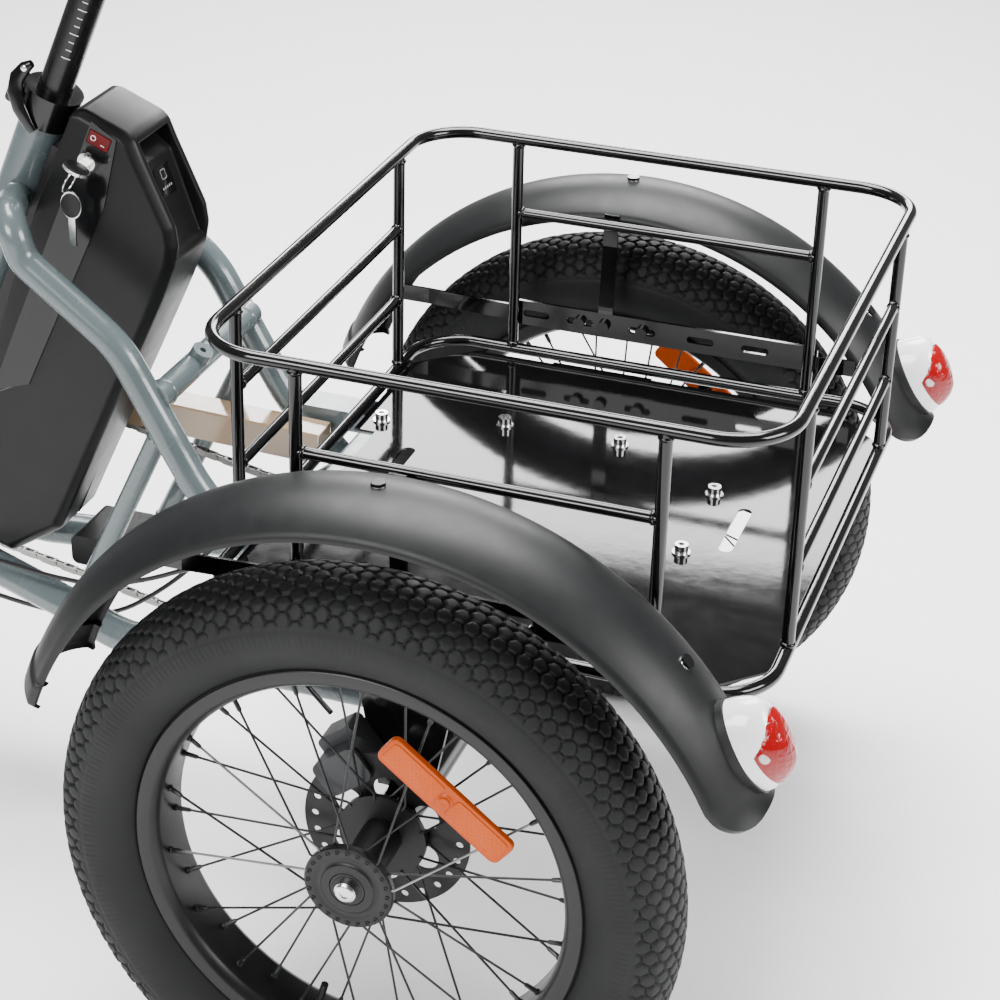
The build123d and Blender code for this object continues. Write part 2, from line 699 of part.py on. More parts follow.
with BuildPart() as power_switch:
    with BuildSketch(seat_plane(battery_half - 6)):
        with Locations(switch_place):
            RectangleRounded(14, 23, 1)
    extrude(amount=6 + 2.2)
    tilt = seat_spot(switch_place[0], switch_place[1], battery_half - 6)
    with BuildSketch(Plane(origin=tilt, x_dir=seat_back, z_dir=seat_down)):
        with BuildLine():
            Polyline((-14, -1), (14, -1), (14, 1.5), (0, 0), (-14, 1.5), close=True)
        make_face()
    extrude(amount=10, both=True, mode=Mode.SUBTRACT)
save(power_switch.part, "power_switch")

keys = []
with BuildPart() as key:
    with BuildSketch(seat_plane(battery_half - 10)):
        with Locations(lock_place):
            Circle(key_barrel)
    extrude(amount=10 + 3.4)
    with BuildSketch(seat_plane(battery_half + 3.4)):
        with Locations(lock_place):
            Rectangle(2.4, 9)
    extrude(amount=10)
    with BuildSketch(Plane(origin=seat_spot(lock_place[0], lock_place[1], battery_half + 13.4),
                           x_dir=seat_back, z_dir=seat_down)):
        with Locations((0, 9.5)):
            Ellipse(14, 11)
        with Locations((0, 16)):
            Circle(3, mode=Mode.SUBTRACT)
    extrude(amount=1.6, both=True)
keys.append(key.part)
ring_middle = seat_spot(lock_place[0] + 12, lock_place[1], battery_half + 29.4)
with BuildPart() as key_ring:
    with BuildSketch(Plane(origin=ring_middle, x_dir=seat_down, z_dir=(0, 1, 0))):
        with Locations((12, 0)):
            Circle(0.9)
    revolve(axis=Axis(ring_middle, seat_back))
keys.append(key_ring.part)

with BuildPart() as spare_key:
    hang = ring_middle + Vector(0, 0, -13.5)
    with BuildSketch(Plane(origin=hang + Vector(0, -2, 0), x_dir=(1, 0, 0), z_dir=(0, 1, 0))):
        with Locations((0, 11)):
            Ellipse(11, 14)
        with Locations((0, 4)):
            Circle(3.2, mode=Mode.SUBTRACT)
        with Locations((0, 38)):
            Rectangle(7, 30)
    extrude(amount=2.4)
keys.append(spare_key.part)
save(Compound(children=keys), "battery_keys")

# ---- battery mount on the seat tube, and the controller box under it ----
with BuildPart() as battery_mount:
    with BuildSketch(seat_plane(0)):
        with Locations((277, (seat_tube_radius + battery_front) / 2)):
            Rectangle(446, battery_front - seat_tube_radius - 0.6)
    extrude(amount=22, both=True)
    with BuildSketch(Plane(origin=seat_spot(0, 0), z_dir=seat_down)):
        Circle(seat_tube_radius)
    extrude(amount=520, mode=Mode.SUBTRACT)
    with BuildSketch(seat_plane(0)):
        with BuildLine():
            Polyline((496, battery_front - 12), (516.4, battery_front - 12), (516.4, battery_front + 1),
                     (508.8, 140), (517, 140), (524, 62), (524, 44), (496, 44), close=True)
        make_face()
    extrude(amount=17, both=True)
save(battery_mount.part, "battery_mount")

with BuildPart() as controller_box:
    with Locations(spot(440, 0, 318)):
        Box(80, 72, 34)
    fillet(controller_box.edges().filter_by(Axis.Y), 8)
save(controller_box.part, "controller_box")

# ---- cranks, chainring and pedals, with the left arm forwards and down ----
arm_way = Vector(cos(radians(crank_deg)), 0, sin(radians(crank_deg)))
with BuildPart() as crankset:
    add_disc(Plane(origin=bracket - Vector(0, arm_y + 10, 0), z_dir=(0, 1, 0)), 9, 2 * arm_y + 20)
    with BuildSketch(Plane(origin=bracket + Vector(0, chain_y + 1.0, 0), z_dir=(0, -1, 0))):
        Circle(chainring_radius + 3)
        with PolarLocations(chainring_radius + 2.5, 52):
            Circle(3.6, mode=Mode.SUBTRACT)
        with PolarLocations(58, 5):
            Circle(24, mode=Mode.SUBTRACT)
    extrude(amount=2.0)
    for side in (1, -1):
        outer = Plane(origin=bracket + Vector(0, side * arm_y, 0), x_dir=arm_way * side, z_dir=(0, side, 0))
        with BuildSketch(outer):
            with BuildLine():
                CenterArc((0, 0), 17, 90, 180)
                Line((0, 17), (crank_length, 12))
                CenterArc((crank_length, 0), 12, -90, 180)
                Line((0, -17), (crank_length, -12))
            make_face()
            with Locations((crank_length, 0)):
                Circle(pedal_pin + running_gap, mode=Mode.SUBTRACT)
        extrude(amount=14)
save(crankset.part, "crankset")

for side, name in ((1, "left"), (-1, "right")):
    centre = bracket + arm_way * (side * crank_length)
    with BuildPart() as pedal:
        add_disc(Plane(origin=centre + Vector(0, side * (arm_y - 2), 0), z_dir=(0, side, 0)), pedal_pin, 116)
        add_disc(Plane(origin=centre + Vector(0, side * (arm_y + 14.4), 0), z_dir=(0, side, 0)), 11, 100)
        for ahead in (-40, 0, 40):
            add_box(centre + Vector(ahead - 6, min(side * 98, side * 186), -11),
                    centre + Vector(ahead + 6, max(side * 98, side * 186), 11))
        for y in (98, 178):
            add_box(centre + Vector(-46, min(side * y, side * (y + 8)), -11),
                    centre + Vector(46, max(side * y, side * (y + 8)), 11))
    save(pedal.part, f"pedal_{name}")

# ---- cassette, rear derailleur and its jockey wheels ----
def pitch_radius(teeth):
    """The radius of the chain round a wheel with this many teeth."""
    return link_pitch / (2 * sin(pi / teeth))


def toothed(teeth, plane, thickness):
    """Add a toothed wheel to the part that is being built."""
    radius = pitch_radius(teeth)
    with BuildSketch(plane) as face:
        Circle(radius + 3.4)
        with PolarLocations(radius + 1.2, teeth):
            Circle(3.9, mode=Mode.SUBTRACT)
    extrude(face.sketch, amount=thickness)


cog_low_y = chain_y - cog_in_use * cog_pitch
with BuildPart() as cassette:
    for index, teeth in enumerate(cog_teeth):
        toothed(teeth, Plane(origin=spot(0, cog_low_y + index * cog_pitch - 1, wheel_radius), z_dir=(0, 1, 0)), 2)
    add_disc(Plane(origin=spot(0, cog_low_y - 5, wheel_radius), z_dir=(0, 1, 0)), 21, 46)
    with BuildSketch(Plane(origin=spot(0, cog_low_y - 5, wheel_radius), z_dir=(0, 1, 0))):
        Circle(axle_radius + running_gap)
    extrude(amount=46, mode=Mode.SUBTRACT)
save(cassette.part, "cassette")

jockeys = {"upper": (8.0, 203.0), "lower": (44.0, 144.0)}
for name, (x, z) in jockeys.items():
    with BuildPart() as jockey:
        toothed(10, Plane(origin=spot(x, chain_y - 1, z), z_dir=(0, 1, 0)), 2)
        add_disc(Plane(origin=spot(x, chain_y - 4, z), z_dir=(0, 1, 0)), 7, 8)
        with BuildSketch(Plane(origin=spot(x, chain_y - 4, z), z_dir=(0, 1, 0))):
            Circle(3 + running_gap)
        extrude(amount=8, mode=Mode.SUBTRACT)
    save(jockey.part, f"jockey_{name}")

with BuildPart() as derailleur:
    for y in (-7.0, 5.0):
        with BuildSketch(side_view(chain_y + y)):
            with BuildLine():
                Polyline((-3, 205), (9, 214), (19, 205), (55, 148), (45, 133), (33, 142), close=True)
            make_face()
        extrude(amount=-2)
    for x, z in jockeys.values():
        add_disc(Plane(origin=spot(x, chain_y - 6, z), z_dir=(0, 1, 0)), 3, 12)
    add_box(spot(-8, 0.1 - housing_right_in, 196), spot(20, chain_y - 6.5, 214))
    add_box(spot(-10, 0.1 - housing_right_in, 196), spot(12, 5.5 - housing_right_in, wheel_radius - 13))
save(derailleur.part, "derailleur")


# ---- chain: side plates round the four wheels, pinned on the straight runs ----
def chain_runs(grow):
    """The tangent runs of the chain, and its arcs, with the loop grown outwards by grow."""
    circles = [((crank_x, crank_z), chainring_radius), ((0.0, wheel_radius), pitch_radius(cog_teeth[cog_in_use])),
               (jockeys["upper"], -jockey_radius), (jockeys["lower"], jockey_radius)]
    leave = []
    arrive = []
    for index, (c1, r1) in enumerate(circles):
        c2, r2 = circles[(index + 1) % 4]
        heading = atan2(c2[1] - c1[1], c2[0] - c1[0])
        heading += asin((r1 - r2) / hypot(c2[0] - c1[0], c2[1] - c1[1]))
        right = (sin(heading), -cos(heading))
        leave.append((c1[0] + (r1 + grow) * right[0], c1[1] + (r1 + grow) * right[1]))
        arrive.append((c2[0] + (r2 + grow) * right[0], c2[1] + (r2 + grow) * right[1]))
    runs = list(zip(leave, arrive))
    arcs = []
    for index, (centre, radius) in enumerate(circles):
        first = arrive[index - 1]
        last = leave[index]
        turn_in = atan2(first[1] - centre[1], first[0] - centre[0])
        turn_out = atan2(last[1] - centre[1], last[0] - centre[0])
        sweep_angle = (turn_out - turn_in) % (2 * pi) if radius > 0 else -((turn_in - turn_out) % (2 * pi))
        half_way = turn_in + sweep_angle / 2
        size = abs(radius + grow)
        arcs.append((first, (centre[0] + size * cos(half_way), centre[1] + size * sin(half_way)), last))
    return runs, arcs


def chain_loop(grow):
    """The face inside the chain's loop, grown outwards by grow."""
    runs, arcs = chain_runs(grow)
    with BuildSketch(side_view(0)) as loop:
        with BuildLine():
            for start, end in runs:
                Line(start, end)
            for arc in arcs:
                ThreePointArc(*arc)
        make_face()
    return loop.sketch


with BuildPart() as chain:
    band = chain_loop(4.0) - chain_loop(-4.0)
    for y in (-3.7, 2.3):
        extrude(Pos(0, chain_y + y + 1.4, 0) * band, amount=1.4)
    for start, end in chain_runs(0)[0]:
        count = int(hypot(end[0] - start[0], end[1] - start[1]) / (4 * link_pitch))
        for index in range(1, count):
            x = start[0] + (end[0] - start[0]) * index / count
            z = start[1] + (end[1] - start[1]) * index / count
            add_disc(Plane(origin=spot(x, chain_y - 3.7, z), z_dir=(0, 1, 0)), 2.5, 7.4)
save(chain.part, "chain")

# ---- chain guard: a trough over the upper run, open below ----
with BuildPart() as chain_guard:
    with BuildSketch(Plane(origin=spot(462, 0, 432), x_dir=(0, -1, 0), z_dir=(-1, 0, -0.03))):
        with BuildLine():
            Polyline((58, -5), (58, 27), (60, 29), (92, 29), (94, 27), (94, -5), (92, -5),
                     (92, 27), (60, 27), (60, -5), close=True)
        make_face()
    extrude(amount=226)
save(chain_guard.part, "chain_guard")

# ---- rear brake cables, from the crank shell along the frame to the calipers ----
cable_radius = 2.5
left_route = [spot(600, 62, 306), spot(540, 70, 306), spot(480, 80, 307), spot(420, 84, 311),
              spot(365, 78, 328), spot(315, 74, 352), spot(270, 92, 370), spot(228, 136, 377),
              spot(190, 190, 392), spot(150, 250, 406), spot(105, 300, 404), spot(62, 326, 390)]
right_route = [spot(600, 46, 252), spot(540, 52, 248), spot(480, 54, 246), spot(420, 48, 258),
               spot(365, 36, 298), spot(318, 22, 348), spot(268, -8, 394), spot(215, -58, 428),
               spot(190, -120, 428), spot(158, -190, 420), spot(112, -262, 410), spot(64, -322, 392)]
cables = []
for route in (left_route, right_route):
    bends = []
    for before, here, after in zip(route, route[1:], route[2:]):
        turn = (here - before).get_angle(after - here)
        shorter = min((here - before).length, (after - here).length)
        bends.append(0.45 * shorter / tan(radians(turn / 2)))
    with BuildPart() as cable:
        add_tube(route, cable_radius, bends)
    print("cable", round(sum((b - a).length for a, b in zip(route, route[1:]))), [round(r) for r in bends])
    cables.append(cable.part)
save(Compound(children=cables), "rear_brake_cables")

# ---- fork, front axle and front fender ----
leg_y = 76.0
axle_spot = spot(wheelbase, 0, wheel_radius)
with BuildPart() as fork:
    add_disc(Plane(origin=steer_spot(head_low - 12), z_dir=steer_up), 13.5, head_high - head_low + 60)
    add_disc(Plane(origin=steer_spot(head_low - 12), z_dir=steer_up), 24, 11.7)
    crown_low = steer_spot(head_low - 46, 8)
    with BuildSketch(Plane(origin=crown_low, x_dir=(0, 1, 0), z_dir=steer_up)):
        RectangleRounded(2 * leg_y + 36, 46, 16)
    extrude(amount=34)
    for side in (1, -1):
        top = steer_spot(head_low - 30, 8, side * leg_y)
        add_tube([top, axle_spot + Vector(-8, side * leg_y, 26)], 16)
        with BuildSketch(Plane(origin=axle_spot + Vector(0, side * (leg_y - 8), 0), x_dir=(1, 0, 0),
                               z_dir=(0, side, 0))):
            SlotCenterPoint((0, 0), (0, -side * 22), 30)
        extrude(amount=8)
    add_disc(Plane(origin=axle_spot - Vector(0, leg_y + 14, 0), z_dir=(0, 1, 0)), front_axle_radius, 2 * leg_y + 28)
    for side in (1, -1):
        add_disc(Plane(origin=axle_spot + Vector(0, side * leg_y, 0), z_dir=(0, side, 0)), 11, 9)
        add_disc(Plane(origin=axle_spot + Vector(0, side * (hub_half + side_gap), 0), z_dir=(0, side, 0)), 10,
                 leg_y - 8 - hub_half - side_gap)
save(fork.part, "fork")

with BuildPart() as front_fender:
    add(fender_part(wheelbase, 0, wheel_radius, 322, 56, 38, 178))
save(front_fender.part, "fender_front")

front_grip = wheel_point(0, -62, rotor_radius - 12)
with BuildPart() as front_caliper:
    caliper_plane = Plane(origin=axle_spot + front_grip + Vector(0, rotor_offset + 1, 0),
                          x_dir=wheel_point(0, 28, 1), z_dir=(0, 1, 0))
    with BuildSketch(caliper_plane.offset(-8)):
        RectangleRounded(46, 34, 8)
    extrude(amount=17)
    with BuildSketch(caliper_plane.offset(-2)):
        with Locations((0, 8)):
            Rectangle(60, 44)
    extrude(amount=4, mode=Mode.SUBTRACT)
save(front_caliper.part, "front_caliper")

# ---- head bearings ----
with BuildPart() as lower_cup:
    add_disc(Plane(origin=steer_spot(head_low), z_dir=steer_up), 17, 12, 13.5 + running_gap)
with BuildPart() as upper_cup:
    add_disc(Plane(origin=steer_spot(head_high), z_dir=-steer_up), 17, 12, 13.5 + running_gap)
with BuildPart() as cap_ring:
    add_disc(Plane(origin=steer_spot(head_high), z_dir=steer_up), 21, 6, 13.5 + running_gap)
save(Compound(children=[lower_cup.part, upper_cup.part, cap_ring.part]), "headset")

# ---- stem and handlebar ----
bar_middle = spot(848, 0, 1042)
stem_top = 792.0
bar_radius = 11.1
with BuildPart() as handlebar:
    add_disc(Plane(origin=steer_spot(head_high + 6.3), z_dir=steer_up), 19, 40)
    with BuildSketch(Plane(origin=steer_spot(head_high + 6.3), z_dir=steer_up)):
        Circle(13.5)
    extrude(amount=60, mode=Mode.SUBTRACT)
    add_disc(Plane(origin=steer_spot(head_high + 46.3), z_dir=steer_up), 16, stem_top - head_high - 46.3)
    with BuildSketch(Plane(origin=steer_spot(head_high + 40), z_dir=steer_up)):
        Circle(13.5)
    extrude(amount=16, mode=Mode.SUBTRACT)
    add_tube([steer_spot(stem_top - 16), bar_middle], 15)
    add_disc(Plane(origin=bar_middle - Vector(0, 26, 0), z_dir=(0, 1, 0)), 19, 52)
    for side in (1, -1):
        add_tube([bar_middle, bar_middle + Vector(2, side * 110, 0), bar_middle + Vector(-12, side * 172, 66),
                  bar_middle + Vector(-45, side * 240, 72), bar_middle + Vector(-158, side * 342, 58)],
                 bar_radius, [40, 34, 60])
save(handlebar.part, "handlebar")


def grip_spot(side, along, off=0.0, up=0.0):
    """A point along a grip from its inner end, off to its outer side and up."""
    inner = bar_middle + Vector(-45, side * 240, 72)
    outer = bar_middle + Vector(-158, side * 342, 58)
    forward = (outer - inner).normalized()
    outside = Vector(-forward.Y * side, forward.X * side, 0).normalized() * -1
    return inner + forward * along + outside * off + Vector(0, 0, up)


def grip_plane(side, along):
    """The plane across a grip, facing its outer end."""
    forward = (grip_spot(side, 1) - grip_spot(side, 0)).normalized()
    return Plane(origin=grip_spot(side, along), z_dir=forward)


grip_length = 118.0
grip_start = 34.0
throttle_length = 44.0
grips = []
for side, start in ((1, grip_start), (-1, grip_start + throttle_length + side_gap)):
    with BuildPart() as grip:
        add_disc(grip_plane(side, start), 16.0, grip_start + grip_length - start, bar_radius)
    grips.append(grip.part)
save(Compound(children=grips), "grips")

with BuildPart() as throttle:
    add_disc(grip_plane(-1, grip_start), 17.5, throttle_length, bar_radius + 0.1)
    with BuildSketch(grip_plane(-1, grip_start + 3)):
        with PolarLocations(17.5, 8):
            Circle(1.6)
    extrude(amount=throttle_length - 6)
save(throttle.part, "throttle")


def grip_view(side, up=0.0):
    """A plane along a grip, facing up: local X runs along the grip, local Y is -side times the offset."""
    along = (grip_spot(side, 1) - grip_spot(side, 0)).normalized()
    off = grip_spot(side, 0, 1) - grip_spot(side, 0)
    normal = off.cross(along) * side
    return Plane(origin=grip_spot(side, 0) + normal * up, x_dir=along, z_dir=normal)


def outline(side, points):
    """Points given as distance along a grip and off it, for a sketch on grip_view."""
    return [(along, -side * off) for along, off in points]


# ---- brake levers, each on the pin of its perch ----
perch_length = 16.0
bend_room = 1.8
lever_pin = (8.0, 31.0)
pin_radius = 3.0
lever_half = 4.0
ear_thickness = 3.0
for side, name in ((1, "left"), (-1, "right")):
    with BuildPart() as brake_lever:
        with BuildSketch(grip_view(side)):
            with BuildLine():
                Polyline(*outline(side, [(0, 24), (0, 38), (30, 52), (95, 59), (120, 57), (120, 47), (95, 49),
                                         (36, 42), (16, 24)]), close=True)
            make_face()
            with Locations(*outline(side, [lever_pin])):
                Circle(pin_radius + running_gap, mode=Mode.SUBTRACT)
        extrude(amount=lever_half, both=True)
    save(brake_lever.part, f"brake_lever_{name}")

# ---- clamped controls: two lever perches, the bell, the gear shifter and the display ----
shifter_middle = (17.0, 0.0)
shifter_low = -36.0
shifter_high = -20.0
shift_pin = 4.0
controls = []
for side in (1, -1):
    with BuildPart() as perch:
        add_disc(grip_plane(side, 0), 16.5, perch_length)
        for up in (lever_half + side_gap, -lever_half - side_gap - ear_thickness):
            with BuildSketch(grip_view(side, up)):
                with BuildLine():
                    Polyline(*outline(side, [(0, 8), (0, 38), (16, 38), (16, 8)]), close=True)
                make_face()
            extrude(amount=ear_thickness)
        with BuildSketch(grip_view(side, -lever_half - side_gap)):
            with Locations(*outline(side, [lever_pin])):
                Circle(pin_radius)
        extrude(amount=2 * (lever_half + side_gap))
        with BuildSketch(grip_plane(side, 0)):
            Circle(bar_radius + bend_room)
        extrude(amount=perch_length, mode=Mode.SUBTRACT)
    controls.append(perch.part)

with BuildPart() as bell:
    add_disc(grip_plane(1, 18), 15, 13)
    with BuildSketch(grip_view(1, 10)):
        with Locations((24.5, 0)):
            Circle(6)
    extrude(amount=10)
    with BuildSketch(grip_view(1, 18)):
        with Locations((24.5, 0)):
            Circle(19)
    extrude(amount=14)
    fillet(bell.faces().sort_by(Axis.Z)[-1].edges(), 9)
    with BuildSketch(grip_plane(1, 18)):
        Circle(bar_radius + side_gap)
    extrude(amount=13, mode=Mode.SUBTRACT)
controls.append(bell.part)

with BuildPart() as shifter:
    add_disc(grip_plane(-1, 18), 15, 13)
    with BuildSketch(grip_view(-1, shifter_high)):
        with Locations((24.5, 0)):
            Rectangle(13, 20)
    extrude(amount=14)
    with BuildSketch(grip_view(-1, shifter_low)):
        with Locations(shifter_middle):
            Circle(19)
    extrude(amount=shifter_high - shifter_low)
    with BuildSketch(grip_view(-1, shifter_low)):
        with Locations(shifter_middle):
            Circle(shift_pin + running_gap)
    extrude(amount=12, mode=Mode.SUBTRACT)
    with BuildSketch(grip_plane(-1, 18)):
        Circle(bar_radius + side_gap)
    extrude(amount=13, mode=Mode.SUBTRACT)
controls.append(shifter.part)

with BuildPart() as display:
    for side in (1, -1):
        add_box(bar_middle + Vector(-16, side * 33 - 3.5, -16), bar_middle + Vector(16, side * 33 + 3.5, 21))
    add_box(bar_middle + Vector(-24, -38, 21), bar_middle + Vector(32, 38, 33))
    with BuildSketch(Plane(origin=bar_middle - Vector(0, 40, 0), z_dir=(0, 1, 0))):
        Circle(bar_radius + 1)
    extrude(amount=80, mode=Mode.SUBTRACT)
controls.append(display.part)
save(Compound(children=controls), "bar_controls")

with BuildPart() as shift_lever:
    with BuildSketch(grip_view(-1, shifter_low - side_gap)):
        with BuildLine():
            Polyline(*outline(-1, [(8, 6), (24, 8), (26, -6), (36, -36), (26, -42), (12, -12)]), close=True)
        make_face()
    extrude(amount=-4)
    with BuildSketch(grip_view(-1, shifter_low - side_gap)):
        with Locations(shifter_middle):
            Circle(shift_pin)
    extrude(amount=11)
save(shift_lever.part, "shift_lever")

# ---- headlight on a bracket in front of the stem ----
light_middle = steer_spot(660, 62)
with BuildPart() as light_body:
    add_disc(Plane(origin=light_middle - Vector(18, 0, 0), z_dir=(1, 0, 0)), 27, 48)
    add_box(light_middle - Vector(60, 9, 8), light_middle - Vector(10, -9, -8))
    with BuildSketch(Plane(origin=steer_spot(560), z_dir=steer_up)):
        Circle(16 + side_gap)
    extrude(amount=200, mode=Mode.SUBTRACT)
    with BuildSketch(Plane(origin=light_middle + Vector(30, 0, 0), z_dir=(1, 0, 0))):
        Circle(24)
    extrude(amount=-5, mode=Mode.SUBTRACT)
    split(bisect_by=Plane(origin=steer_spot(660, 10), z_dir=(cos(radians(steer_lean)), 0, sin(radians(steer_lean)))),
          keep=Keep.TOP)
with BuildPart() as light_glass:
    add_disc(Plane(origin=light_middle + Vector(25.1, 0, 0), z_dir=(1, 0, 0)), 23.8, 4)
save(Compound(children=[light_body.part, light_glass.part]), "headlight")
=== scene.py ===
import math

import bmesh
import bpy
import numpy as np
from mathutils import Matrix, Vector


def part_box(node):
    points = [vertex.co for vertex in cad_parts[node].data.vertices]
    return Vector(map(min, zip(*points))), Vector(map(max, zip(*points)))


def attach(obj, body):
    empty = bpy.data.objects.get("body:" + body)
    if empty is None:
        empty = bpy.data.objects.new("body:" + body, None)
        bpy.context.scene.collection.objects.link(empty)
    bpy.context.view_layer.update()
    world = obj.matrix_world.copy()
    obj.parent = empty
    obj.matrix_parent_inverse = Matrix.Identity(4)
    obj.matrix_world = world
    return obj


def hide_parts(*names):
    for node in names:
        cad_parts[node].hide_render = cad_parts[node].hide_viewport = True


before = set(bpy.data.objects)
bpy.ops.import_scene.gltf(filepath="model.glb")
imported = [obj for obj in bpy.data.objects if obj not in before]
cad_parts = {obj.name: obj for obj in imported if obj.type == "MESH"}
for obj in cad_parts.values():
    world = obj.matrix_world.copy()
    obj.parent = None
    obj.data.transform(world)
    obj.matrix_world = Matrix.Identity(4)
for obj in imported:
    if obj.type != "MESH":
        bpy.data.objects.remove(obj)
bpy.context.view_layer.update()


# ---- places, in millimetres from the rear axle as in the CAD, turned into metres ----
axle_low, axle_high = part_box("drive_axle")
rear_x = (axle_low[0] + axle_high[0]) / 2
y_axis = Vector((0, 1, 0))


def spot(x, y, z):
    """The point x ahead of the rear axle, y left of the middle and z above the ground, in metres."""
    return Vector((rear_x + x / 1000, y / 1000, z / 1000))


# ---- camera at the photograph's viewing angle ----
azimuth = math.radians(198.95)
elevation = math.radians(27.8)
roll = math.radians(1.35)
camera_place = spot(-647.7, 2022.6, 1609.5)
back = Vector((math.sin(azimuth) * math.cos(elevation), -math.cos(azimuth) * math.cos(elevation),
               math.sin(elevation)))
level_right = (-back).cross(Vector((0, 0, 1))).normalized()
level_up = level_right.cross(-back)
right = math.cos(roll) * level_right + math.sin(roll) * level_up
up = -math.sin(roll) * level_right + math.cos(roll) * level_up
camera_data = bpy.data.cameras.new("camera")
camera_data.sensor_width = 36.0
camera_data.lens = 87.78
camera_data.shift_x = 0.0295
camera_data.shift_y = -0.0321
camera_data.clip_end = 60.0
camera = bpy.data.objects.new("camera", camera_data)
camera.matrix_world = Matrix((
    (right.x, up.x, back.x, camera_place.x),
    (right.y, up.y, back.y, camera_place.y),
    (right.z, up.z, back.z, camera_place.z),
    (0, 0, 0, 1)))
bpy.context.collection.objects.link(camera)
bpy.context.scene.camera = camera


# ---- materials ----
patch_scale = 14.0


def add_node(tree, kind, place=None, **values):
    """A node with its input values; a texture is also fed with the object coordinates."""
    node = tree.nodes.new("ShaderNode" + kind)
    for name, value in values.items():
        node.inputs[name].default_value = value
    if place:
        tree.links.new(place.outputs["Object"], node.inputs["Vector"])
    return node


def add_bump(tree, shader, height, strength, depth):
    """Raise the surface by a texture output."""
    bump = add_node(tree, "Bump", Strength=strength, Distance=depth)
    tree.links.new(height, bump.inputs["Height"])
    tree.links.new(bump.outputs["Normal"], shader.inputs["Normal"])


def surface(name, color, rough, metallic=0.0, coat=0.0, mottle=0.12, grain=900.0, grain_depth=0.00003,
            rough_spread=0.08, specular=0.5):
    """A surface with soft colour patches, uneven gloss and a fine grain."""
    made = bpy.data.materials.new(name)
    made.use_nodes = True
    tree = made.node_tree
    shader = tree.nodes["Principled BSDF"]
    place = add_node(tree, "TexCoord")
    patches = add_node(tree, "TexNoise", place, Scale=patch_scale, Detail=5)
    ramp = add_node(tree, "ValToRGB")
    for element, position, factor in zip(ramp.color_ramp.elements, (0.3, 0.7), (1 - mottle, 1 + mottle)):
        element.position = position
        element.color = [min(1, c * factor) for c in color] + [1]
    tree.links.new(patches.outputs["Fac"], ramp.inputs["Fac"])
    tree.links.new(ramp.outputs["Color"], shader.inputs["Base Color"])
    smears = add_node(tree, "TexNoise", place, Scale=patch_scale * 4, Detail=6)
    spread = add_node(tree, "MapRange")
    spread.inputs["To Min"].default_value = max(0.02, rough - rough_spread)
    spread.inputs["To Max"].default_value = rough + rough_spread
    tree.links.new(smears.outputs["Fac"], spread.inputs["Value"])
    tree.links.new(spread.outputs["Result"], shader.inputs["Roughness"])
    fine = add_node(tree, "TexNoise", place, Scale=grain, Detail=3)
    add_bump(tree, shader, fine.outputs["Fac"], 0.5, grain_depth)
    for name, value in (("Metallic", metallic), ("Coat Weight", coat), ("Coat Roughness", 0.04),
                        ("Specular IOR Level", specular)):
        shader.inputs[name].default_value = value
    return made


def prism_surface(name, color, rough, cell, depth, transmission, coat=0.6, specular=0.5):
    """Clear coloured plastic moulded with small prisms."""
    made = surface(name, color, rough, coat=coat, mottle=0.1, rough_spread=0.04, specular=specular)
    tree = made.node_tree
    shader = tree.nodes["Principled BSDF"]
    cells = add_node(tree, "TexVoronoi", add_node(tree, "TexCoord"), Scale=cell, Randomness=0.0)
    cells.feature = "F1"
    cells.distance = "CHEBYCHEV"
    add_bump(tree, shader, cells.outputs["Distance"], 0.8, depth)
    shader.inputs["Transmission Weight"].default_value = transmission
    return made


frame_paint = surface("frame_paint", (0.082, 0.104, 0.109), 0.26, coat=0.35, mottle=0.05, grain=260,
                      grain_depth=0.00004)
basket_paint = surface("basket_paint", (0.002, 0.002, 0.0023), 0.13, coat=0.15, specular=0.4, mottle=0.2,
                       grain=500, rough_spread=0.05)
floor_paint = surface("floor_paint", (0.002, 0.002, 0.0022), 0.07, specular=0.3, mottle=0.2, grain=60,
                      grain_depth=0.00006, rough_spread=0.03)
fender_paint = surface("fender_paint", (0.006, 0.0063, 0.0066), 0.43, specular=0.24, mottle=0.08, grain=1400)
tyre_rubber = surface("tyre_rubber", (0.009, 0.0093, 0.0096), 0.62, mottle=0.25, grain=1600,
                      grain_depth=0.00008, rough_spread=0.1, specular=0.2)
rim_paint = surface("rim_paint", (0.004, 0.004, 0.0043), 0.34, specular=0.3, mottle=0.15, grain=1200)
hub_paint = surface("hub_paint", (0.004, 0.004, 0.0043), 0.4, specular=0.3, mottle=0.2, grain=1500)
spoke_black = surface("spoke_black", (0.012, 0.012, 0.013), 0.3, metallic=0.3, mottle=0.3, grain=2500)
# grey metal for two spokes: a painted glint on spokes that are black like the rest
spoke_painted_glint = surface("spoke_painted_glint", (0.35, 0.35, 0.35), 0.3, metallic=0.9, mottle=0.3, grain=2500)
bright_steel = surface("bright_steel", (0.62, 0.62, 0.61), 0.2, metallic=1.0, mottle=0.15, grain=1800,
                       grain_depth=0.00002)
worn_steel = surface("worn_steel", (0.22, 0.215, 0.21), 0.36, metallic=1.0, mottle=0.45, grain=1500)
brake_metal = surface("brake_metal", (0.035, 0.036, 0.038), 0.42, metallic=0.4, mottle=0.3, grain=1200,
                      grain_depth=0.00006)
lamp_white = surface("lamp_white", (0.78, 0.79, 0.80), 0.16, coat=0.6, mottle=0.03, grain=700)
lamp_red = prism_surface("lamp_red", (0.24, 0.0, 0.002), 0.14, 150.0, 0.0012, 0.0, 0.2, 0.3)
lamp_clear = prism_surface("lamp_clear", (0.85, 0.78, 0.77), 0.06, 220.0, 0.0008, 0.4)
amber = prism_surface("amber", (0.46, 0.066, 0.0), 0.3, 260.0, 0.0009, 0.0, 0.0, 0.2)
amber_smooth = surface("amber_smooth", (0.42, 0.055, 0.0), 0.3, specular=0.2, mottle=0.08, grain=600)
